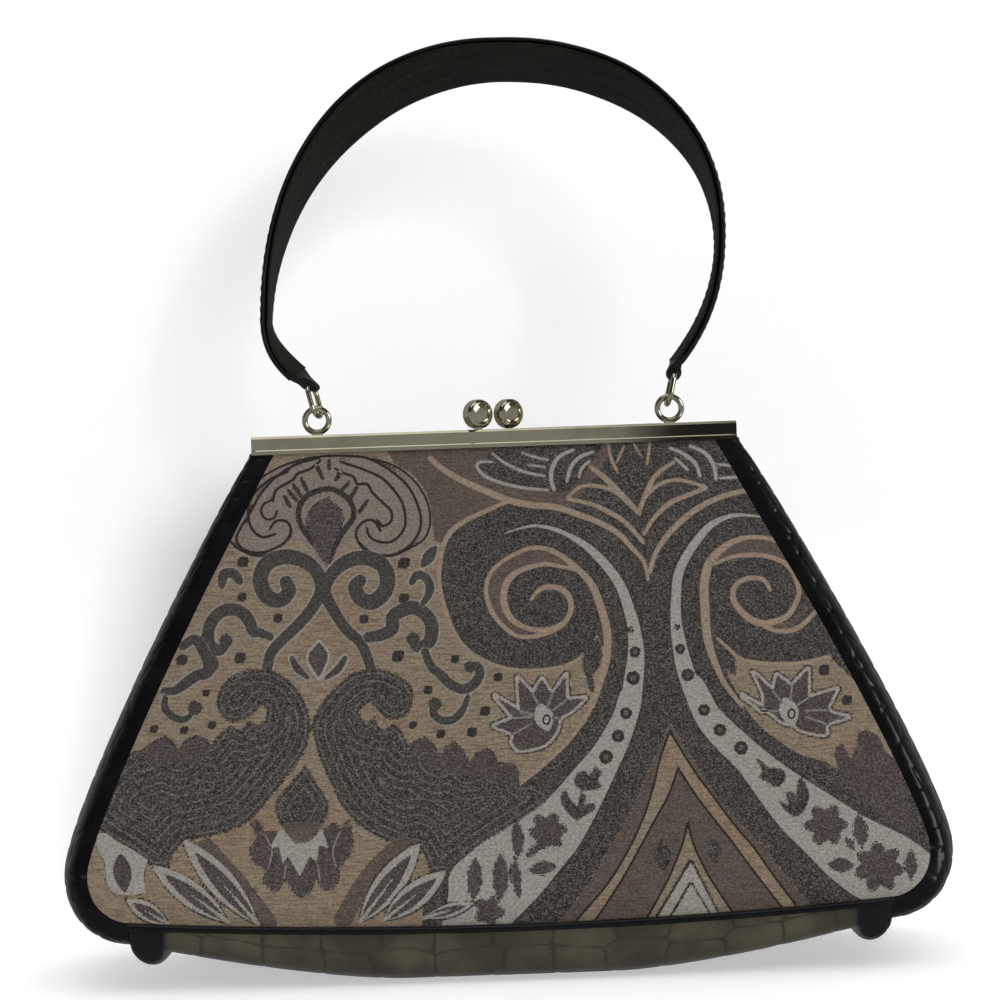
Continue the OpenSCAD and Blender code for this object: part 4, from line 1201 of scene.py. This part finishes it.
def pouchGrid(inset, front):
    share = np.linspace(0, 1, pouch["levels"]) ** 1.15
    z = blendNumbers(pouch["floorZ"], bag["topZ"] - pouch["clear"], share)
    foot = pouch["foot"]
    tucked = 1 - pouch["tuck"] * clip01((foot - z) / foot) ** 2
    halfY = (depthAt(z) - bag["clothT"] - pouch["clear"]) * tucked
    a = np.linspace(0, np.pi, pouch["sides"])[None, :]
    grow = np.concatenate([np.linspace(0, 1, pouch["floorRows"], endpoint=False), np.ones(len(z))])[:, None]
    full = [np.concatenate([np.full(pouch["floorRows"], column[0]), column])[:, None]
            for column in (pouchX(z), halfY, z)]
    x = (full[0] - inset) * powered(np.cos(a), pouch["power"])
    y = (full[1] - inset) * powered(np.sin(a), pouch["power"]) * grow
    height = full[2] + inset * (grow < 1)
    folds = pouch["folds"] * ripple(x / pouch["foldX"], height / pouch["foldZ"], 0.6) * np.sin(a) ** 0.5
    folds = folds * clip01((height - pouch["floorZ"]) / pouch["foldFrom"])
    return np.stack([x, (-1 if front else 1) * np.maximum(0, y - np.abs(folds)), height + 0 * x], -1)


for part, half in (("Front", "front_half"), ("Back", "back_half")):
    isFront = part == "Front"
    piece = thickSheet("lining" + part, pouchGrid(0, isFront), pouchGrid(pouch["thick"], isFront), satin)
    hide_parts("lining")
    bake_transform(piece)
print("lining made")


# Strap: an arch in the handle's own plane, leaning back; its left end slumps
strap = dict(
    pivot=(0, 3.15, 190.8), lean=12, eyeletX=60.5, arch=18, top=124.5, sway=5, round=2.1, cone=5, leftCone=6,
    linkTop=8.4, linkLean=14, width=31, endWidth=10, rows=401, thick=3.2, lining=1.2, layerGap=0.25,
    eyeR=2.6, eyeW=2.15, edgePower=9, facePower=3.2, crown=0.1, waver=0.1)
strapEnds = dict(
    right=dict(run=4, lean=14, wideZ=56, turn=18, linkTurn=8),
    left=dict(run=6, lean=45, wideZ=34, turn=40, linkTurn=22))


def leanWay(angle):
    return np.array([math.sin(math.radians(angle)), math.cos(math.radians(angle))])


strapEye = np.array([strap["eyeletX"], 0]) + strap["linkTop"] * leanWay(strap["linkLean"])
archHalf = strap["eyeletX"] + strap["arch"]
for end in strapEnds.values():
    end["point"] = strapEye + end["run"] * leanWay(end["lean"])
    end["footZ"] = end["point"][1]
    end["low"] = math.acos(end["point"][0] / archHalf)
    end["drop"] = (end["wideZ"] - end["footZ"]) / math.sin(end["low"])


def bySide(a, key):
    return np.where(a < np.pi / 2, strapEnds["right"][key], strapEnds["left"][key])


def archAt(a):
    wide, foot = bySide(a, "wideZ"), bySide(a, "footZ")
    upper = np.stack([archHalf * powered(np.cos(a), strap["round"]),
                      wide + (strap["top"] - wide) * powered(np.sin(a), strap["round"])], -1)
    lower = np.stack([archHalf * np.cos(a), wide + bySide(a, "drop") * np.sin(a)], -1)
    p = np.where((np.sin(a) >= 0)[:, None], upper, lower)
    high = clip01((p[:, 1] - foot) / (strap["top"] - foot))
    return p + np.stack([strap["sway"] * high ** 0.8, 0 * high], -1)


def toHandle(points):  # from the handle's plane to the bag's frame
    a = math.radians(strap["lean"])
    x, y, z = np.moveaxis(points, -1, 0)
    turned = [x, y * math.cos(a) + z * math.sin(a), z * math.cos(a) - y * math.sin(a)]
    return np.stack(turned, -1) + np.array(strap["pivot"])


def strapFrames(count):
    fine = np.linspace(-strapEnds["right"]["low"], np.pi + strapEnds["left"]["low"], 3001)
    a = evenRows(np.column_stack([archAt(fine), fine]), count)[0][:, 2]
    middle = archAt(a)
    along = unit(archAt(a + 0.007) - archAt(a - 0.007))
    out = np.stack([along[:, 1], 0 * a, -along[:, 0]], -1)
    low = bySide(a, "low")
    below = ease(clip01((np.abs(a - np.pi / 2) - np.pi / 2) / low)) * bySide(a, "turn")
    above = strap["cone"] * np.sin(a) + np.where(a < np.pi / 2, 0, strap["leftCone"] * np.sin(2 * a - np.pi))
    turn = np.radians(np.where(np.sin(a) < 0, below, above))[:, None]
    front = np.array([0.0, -1.0, 0.0])
    across = np.cos(turn) * front + np.sin(turn) * out
    thick = np.cos(turn) * out - np.sin(turn) * front
    fromEnd = 1 - np.abs(a - np.pi / 2) / (np.pi / 2 + low)
    half = blendNumbers(strap["endWidth"], strap["width"], ease(clip01(1.25 * fromEnd + 0.02))) / 2
    run = np.concatenate([[0], np.cumsum(np.linalg.norm(np.diff(middle, axis=0), axis=1))])
    middle = np.stack([middle[:, 0], 0 * a, middle[:, 1]], -1)
    return dict(middle=middle, across=across, thick=thick, half=half, run=run)


def strapBand(name, node, finish, low, high, trim, sides):
    f = strapFrames(strap["rows"])
    a = np.linspace(0, 2 * np.pi, sides, endpoint=False)[None, :]
    half = f["half"][:, None] - trim
    q = half * powered(np.cos(a), strap["edgePower"])
    crown = 1 - strap["crown"] * (q / half) ** 2
    level = (low + high) / 2 + (high - low) / 2 * powered(np.sin(a), strap["facePower"]) * crown
    waver = strap["waver"] * ripple(f["run"][:, None] / 8, q / 5, 2.2)
    rings = toHandle(f["middle"][:, None] + q[..., None] * f["across"][:, None]
                     + (level + waver)[..., None] * f["thick"][:, None])
    place = np.stack([np.repeat(f["run"][:, None], sides, 1), q, level + 0 * q], -1)
    place = np.concatenate([place.reshape(-1, 3), place[[0, -1]].mean(1)])
    piece = tubePiece(name, rings, finish, dict(restPlace=place), 40)
    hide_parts(node)
    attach(piece, "handle")


fullHalf = strap["thick"] / 2
strapBand("strapOuter", "strap", strapOuterSkin, strap["lining"] - fullHalf, fullHalf, 0, 48)
strapBand("strapBacking", "strap_lining", strapInnerSkin, -fullHalf,
          strap["lining"] - fullHalf - strap["layerGap"], 0.2, 48)


tip = dict(sides=32, rows=25, capRows=14, tuck=-0.6, capRun=0.65, capEnd=0.66, trim=0.3, sunk=0.15, run=4)


def strapTip(name, sign, end):  # a folded tab that narrows to an eye round the link's wire
    a = np.linspace(0, 2 * np.pi, tip["sides"], endpoint=False)[None, :]
    rounded = 1 + tip["capRun"] * np.sin(np.linspace(0.1, np.pi / 2, tip["capRows"]))
    k = np.concatenate([np.linspace(tip["tuck"], 1, tip["rows"]), rounded])[:, None]
    cap = np.sqrt(clip01(1 - ((np.maximum(k, 1) - 1) / tip["capEnd"]) ** 2))
    share = ease(clip01(k))
    wide = blendNumbers(strap["endWidth"] / 2 - tip["trim"], strap["eyeW"], share) * (0.55 + 0.45 * cap)
    deep = blendNumbers(fullHalf - tip["sunk"], strap["eyeR"], share ** 1.4) * cap
    up = unit(np.array([archHalf * math.sin(end["low"]), end["drop"] * math.cos(end["low"])]))
    down = strapEye - end["point"]
    past = np.maximum(0, k - 1) * tip["run"] / end["run"]
    centre = end["point"] + (clip01(k) + past) * down + np.maximum(0, -k) * tip["run"] * up
    lean = blendNumbers(math.atan2(up[0], up[1]), math.radians(strap["linkLean"]), share)
    t = np.radians(blendNumbers(end["turn"], end["linkTurn"], share))
    q, level = wide * powered(np.cos(a), 5), deep * powered(np.sin(a), 3)
    out = np.stack([np.cos(lean), 0 * lean, -np.sin(lean)], -1)
    front = np.array([0.0, -1.0, 0.0])
    across = np.cos(t)[..., None] * front + np.sin(t)[..., None] * out
    thick = np.cos(t)[..., None] * out - np.sin(t)[..., None] * front
    points = np.stack([centre[:, :1] + 0 * q, 0 * q, centre[:, 1:] + 0 * q], -1)
    points = toHandle((points + q[..., None] * across + level[..., None] * thick) * np.array([sign, 1, 1]))
    place = np.concatenate([points.reshape(-1, 3), points[[0, -1]].mean(1)])
    piece = tubePiece(name, points, strapOuterSkin, dict(restPlace=place), 40)
    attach(piece, "handle")


strapTip("rightStrapTip", 1, strapEnds["right"])
strapTip("leftStrapTip", -1, strapEnds["left"])


stitches = dict(
    length=2.5, pitch=3.6, threadR=0.2, start=6, inset=1.9, innerRow=5.2, innerShare=0.42, crown=0.12,
    proud=0.04, dip=0.34,
    rows=[(-1, 1, 0), (-1, -1, 0), (-1, 1, 1), (-1, -1, 1), (1, 1, 0), (1, -1, 0)])  # face, side, inner row


def strapStitches():
    f = strapFrames(1201)
    k = np.linspace(0, 1, 7)[:, None]
    a = np.linspace(0, 2 * np.pi, 6, endpoint=False)[None, :]
    tubes = []
    for level, hand, isInner in stitches["rows"]:
        for start in np.arange(stitches["start"], f["run"][-1] - stitches["start"], stitches["pitch"]):
            s = start + stitches["length"] * k[:, 0]
            pick = np.searchsorted(f["run"], s)
            half = f["half"][pick]
            inner = np.minimum(stitches["innerRow"], stitches["innerShare"] * half)
            q = hand * (inner if isInner else half - stitches["inset"])
            drop = level * (fullHalf - stitches["crown"] * (q / half) ** 2 + stitches["proud"]
                            - stitches["dip"] * (2 * k[:, 0] - 1) ** 4)
            centre = f["middle"][pick] + q[:, None] * f["across"][pick] + drop[:, None] * f["thick"][pick]
            ring = stitches["threadR"] * (np.cos(a)[..., None] * f["across"][pick][:, None]
                                          + 0.8 * np.sin(a)[..., None] * f["thick"][pick][:, None])
            tubes.append(toHandle(centre[:, None] + ring))
    piece = manyTubes("strapStitches", tubes, threadFinish)
    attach(piece, "handle")


strapStitches()
print("strap made")


# Metal, cords and board keep their own solids
metalNodes = ["front_frame", "back_frame", "left_hinge_rivet", "right_hinge_rivet", "front_clasp_knob",
              "back_clasp_knob", "left_eyelet", "right_eyelet", "left_link", "right_link"]
nodeFinishes = {name: (nickel, "nickel") for name in metalNodes}
nodeFinishes.update(base_board=(greyBoard, "board"), front_packing_cord=(kraftCord, "paper_cord"),
                    back_packing_cord=(kraftCord, "paper_cord"))
edges = dict(width=0.00022, segments=2, angle=32)
for name, (finish, slotName) in nodeFinishes.items():
    node = nodes[name]
    node.data.materials.clear()
    node.data.materials.append(finish)
    if name in ("front_frame", "back_frame"):
        bevel = node.modifiers.new("softEdges", "BEVEL")
        bevel.width, bevel.segments = edges["width"], edges["segments"]
        bevel.limit_method, bevel.angle_limit = "ANGLE", math.radians(edges["angle"])
print("metal finished")


# Stage: pale floor and backdrop, soft light and the camera
stage = dict(
    pale=(0.86, 0.86, 0.86), wallY=0.2, bend=0.14, front=40, width=40, height=3, drop=0.00005, floorGlow=0.43,
    wallGlow=0.11, mirrored=0.35, ambient=0.25, dome=0.06, horizon=0.34, skyline=(0.06, 0.4), boxEdge=0.03,
    keyPower=1.6, keyAngle=13, keyFrom=(0.24, -0.96, 0.1), topPower=1.0, topAngle=60,
    topFrom=(0.25, -0.5, 0.85))
softBoxes = [((0.75, -0.55, 0.35), 0.965, 7.0), ((-0.1, -0.35, 0.93), 0.9, 1.2)]  # towards, reach, power
darkScreen = dict(left=(0.05, 0.06), right=(0.14, 0.2), top=(0.06, 0.14), front=(0.5, 0.6), glow=0.02)


def seenDirectly(wire):
    path = wire.node("LightPath", None, None, "Is Camera Ray")
    return wire.maths("MAXIMUM", path, path.other("Is Transmission Ray")), path.other("Is Glossy Ray")


def mixShaders(wire, share, first, second):
    return wire.node("MixShader", None, {0: share, 1: first, 2: second})


def makeSweep():  # floor that curves up into a backdrop; matt, and brighter to the eye than it lights
    material, wire = newFinish("paleSweep")
    seen, glossy = seenDirectly(wire)
    matt = wire.node("BsdfDiffuse", None, {"Color": (*stage["pale"], 1)})
    normal = wire.node("NewGeometry", None, None, "Normal")
    upright = wire.node("SeparateXYZ", None, {0: normal}, 2)
    glow = upright.colour((*[stage["wallGlow"]] * 3, 1), (*[stage["floorGlow"]] * 3, 1))
    lit = wire.node("AddShader", None, {0: matt, 1: wire.node("Emission", None, {"Color": glow})})
    surface = mixShaders(wire, glossy, mixShaders(wire, seen, matt, lit),
                         wire.node("Emission", None, {"Strength": stage["mirrored"]}))
    behind = normal.other("Backfacing")  # open from behind, for views of the back
    surface = mixShaders(wire, behind, surface, wire.node("BsdfTransparent"))
    wire.node("OutputMaterial", None, {"Surface": surface})
    low, r = -stage["drop"], stage["bend"]
    a = np.linspace(0, np.pi / 2, 41)
    bend = zip(stage["wallY"] - r + r * np.sin(a), low + r - r * np.cos(a))
    profile = [(-stage["front"], low), *bend, (stage["wallY"], stage["height"])]
    points = [(x * 1000, y * 1000, z * 1000) for y, z in profile for x in (-stage["width"], stage["width"])]
    faces = [(2 * k, 2 * k + 1, 2 * k + 3, 2 * k + 2) for k in range(len(profile) - 1)]
    makePiece("sweep", points, faces, material)


def makeWorld():
    world = bpy.data.worlds.new("studio")
    bpy.context.scene.world = world
    world.use_nodes = True
    world.node_tree.nodes.clear()
    wire = Wire(world.node_tree)
    seen, glossy = seenDirectly(wire)
    way = wire.node("TexCoord", None, None, "Generated")
    split = wire.node("SeparateXYZ", None, {0: way})
    x, y, z = (split.other(k) for k in range(3))

    def sky(level):
        return wire.node("Background", None, {"Color": (1, 1, 1, 1), "Strength": level})

    level = wire.maths("ABSOLUTE", z)
    mirrored = mixShaders(wire, level.step(*stage["skyline"]), sky(stage["horizon"]), sky(stage["dome"]))
    for towards, reach, power in softBoxes:
        aim = tuple(np.array(towards) / np.linalg.norm(towards))
        facing = wire.node("VectorMath", dict(operation="DOT_PRODUCT"), {0: way, 1: aim}, "Value")
        mirrored = mixShaders(wire, facing.step(reach, reach + stage["boxEdge"]), mirrored, sky(power))
    panel = x.step(*darkScreen["left"]) * (1 - x.step(*darkScreen["right"]))  # dark screen by the camera
    panel = panel * (1 - level.step(*darkScreen["top"])) * (0 - y).step(*darkScreen["front"])
    mirrored = mixShaders(wire, panel, mirrored, sky(darkScreen["glow"]))
    unseen = mixShaders(wire, glossy, sky(stage["ambient"]), mirrored)
    wire.node("OutputWorld", None, {"Surface": mixShaders(wire, seen, unseen, sky(1.0))})


def makeSun(name, power, angle, towards):
    lamp = bpy.data.lights.new(name, "SUN")
    lamp.energy, lamp.angle = power, math.radians(angle)
    sun = bpy.data.objects.new(name, lamp)
    sun.visible_glossy = False  # the world's soft boxes make the highlights
    bpy.context.scene.collection.objects.link(sun)
    way = np.array(towards)
    sun.rotation_euler = (math.acos(way[2] / np.linalg.norm(way)), 0, math.atan2(way[0], -way[1]))


def makeCamera():
    lens = bpy.data.cameras.new("photoView")
    size = design["size"]
    lens.lens = lens.sensor_width * design["focal"] / size
    lens.shift_x, lens.shift_y = (size / 2 - design["midX"]) / size, (design["midY"] - size / 2) / size
    camera = bpy.data.objects.new("photoView", lens)
    bpy.context.scene.collection.objects.link(camera)
    camera.location = (0, -design["eye"] * 0.001, design["eyeZ"] * 0.001)
    camera.rotation_euler = (math.radians(90), math.radians(design["turn"]), 0)
    bpy.context.scene.camera = camera


makeSweep()
makeWorld()
makeSun("keyLight", stage["keyPower"], stage["keyAngle"], stage["keyFrom"])
makeSun("topLight", stage["topPower"], stage["topAngle"], stage["topFrom"])
makeCamera()
bpy.context.scene.view_settings.view_transform = "Standard"
print("stage set")
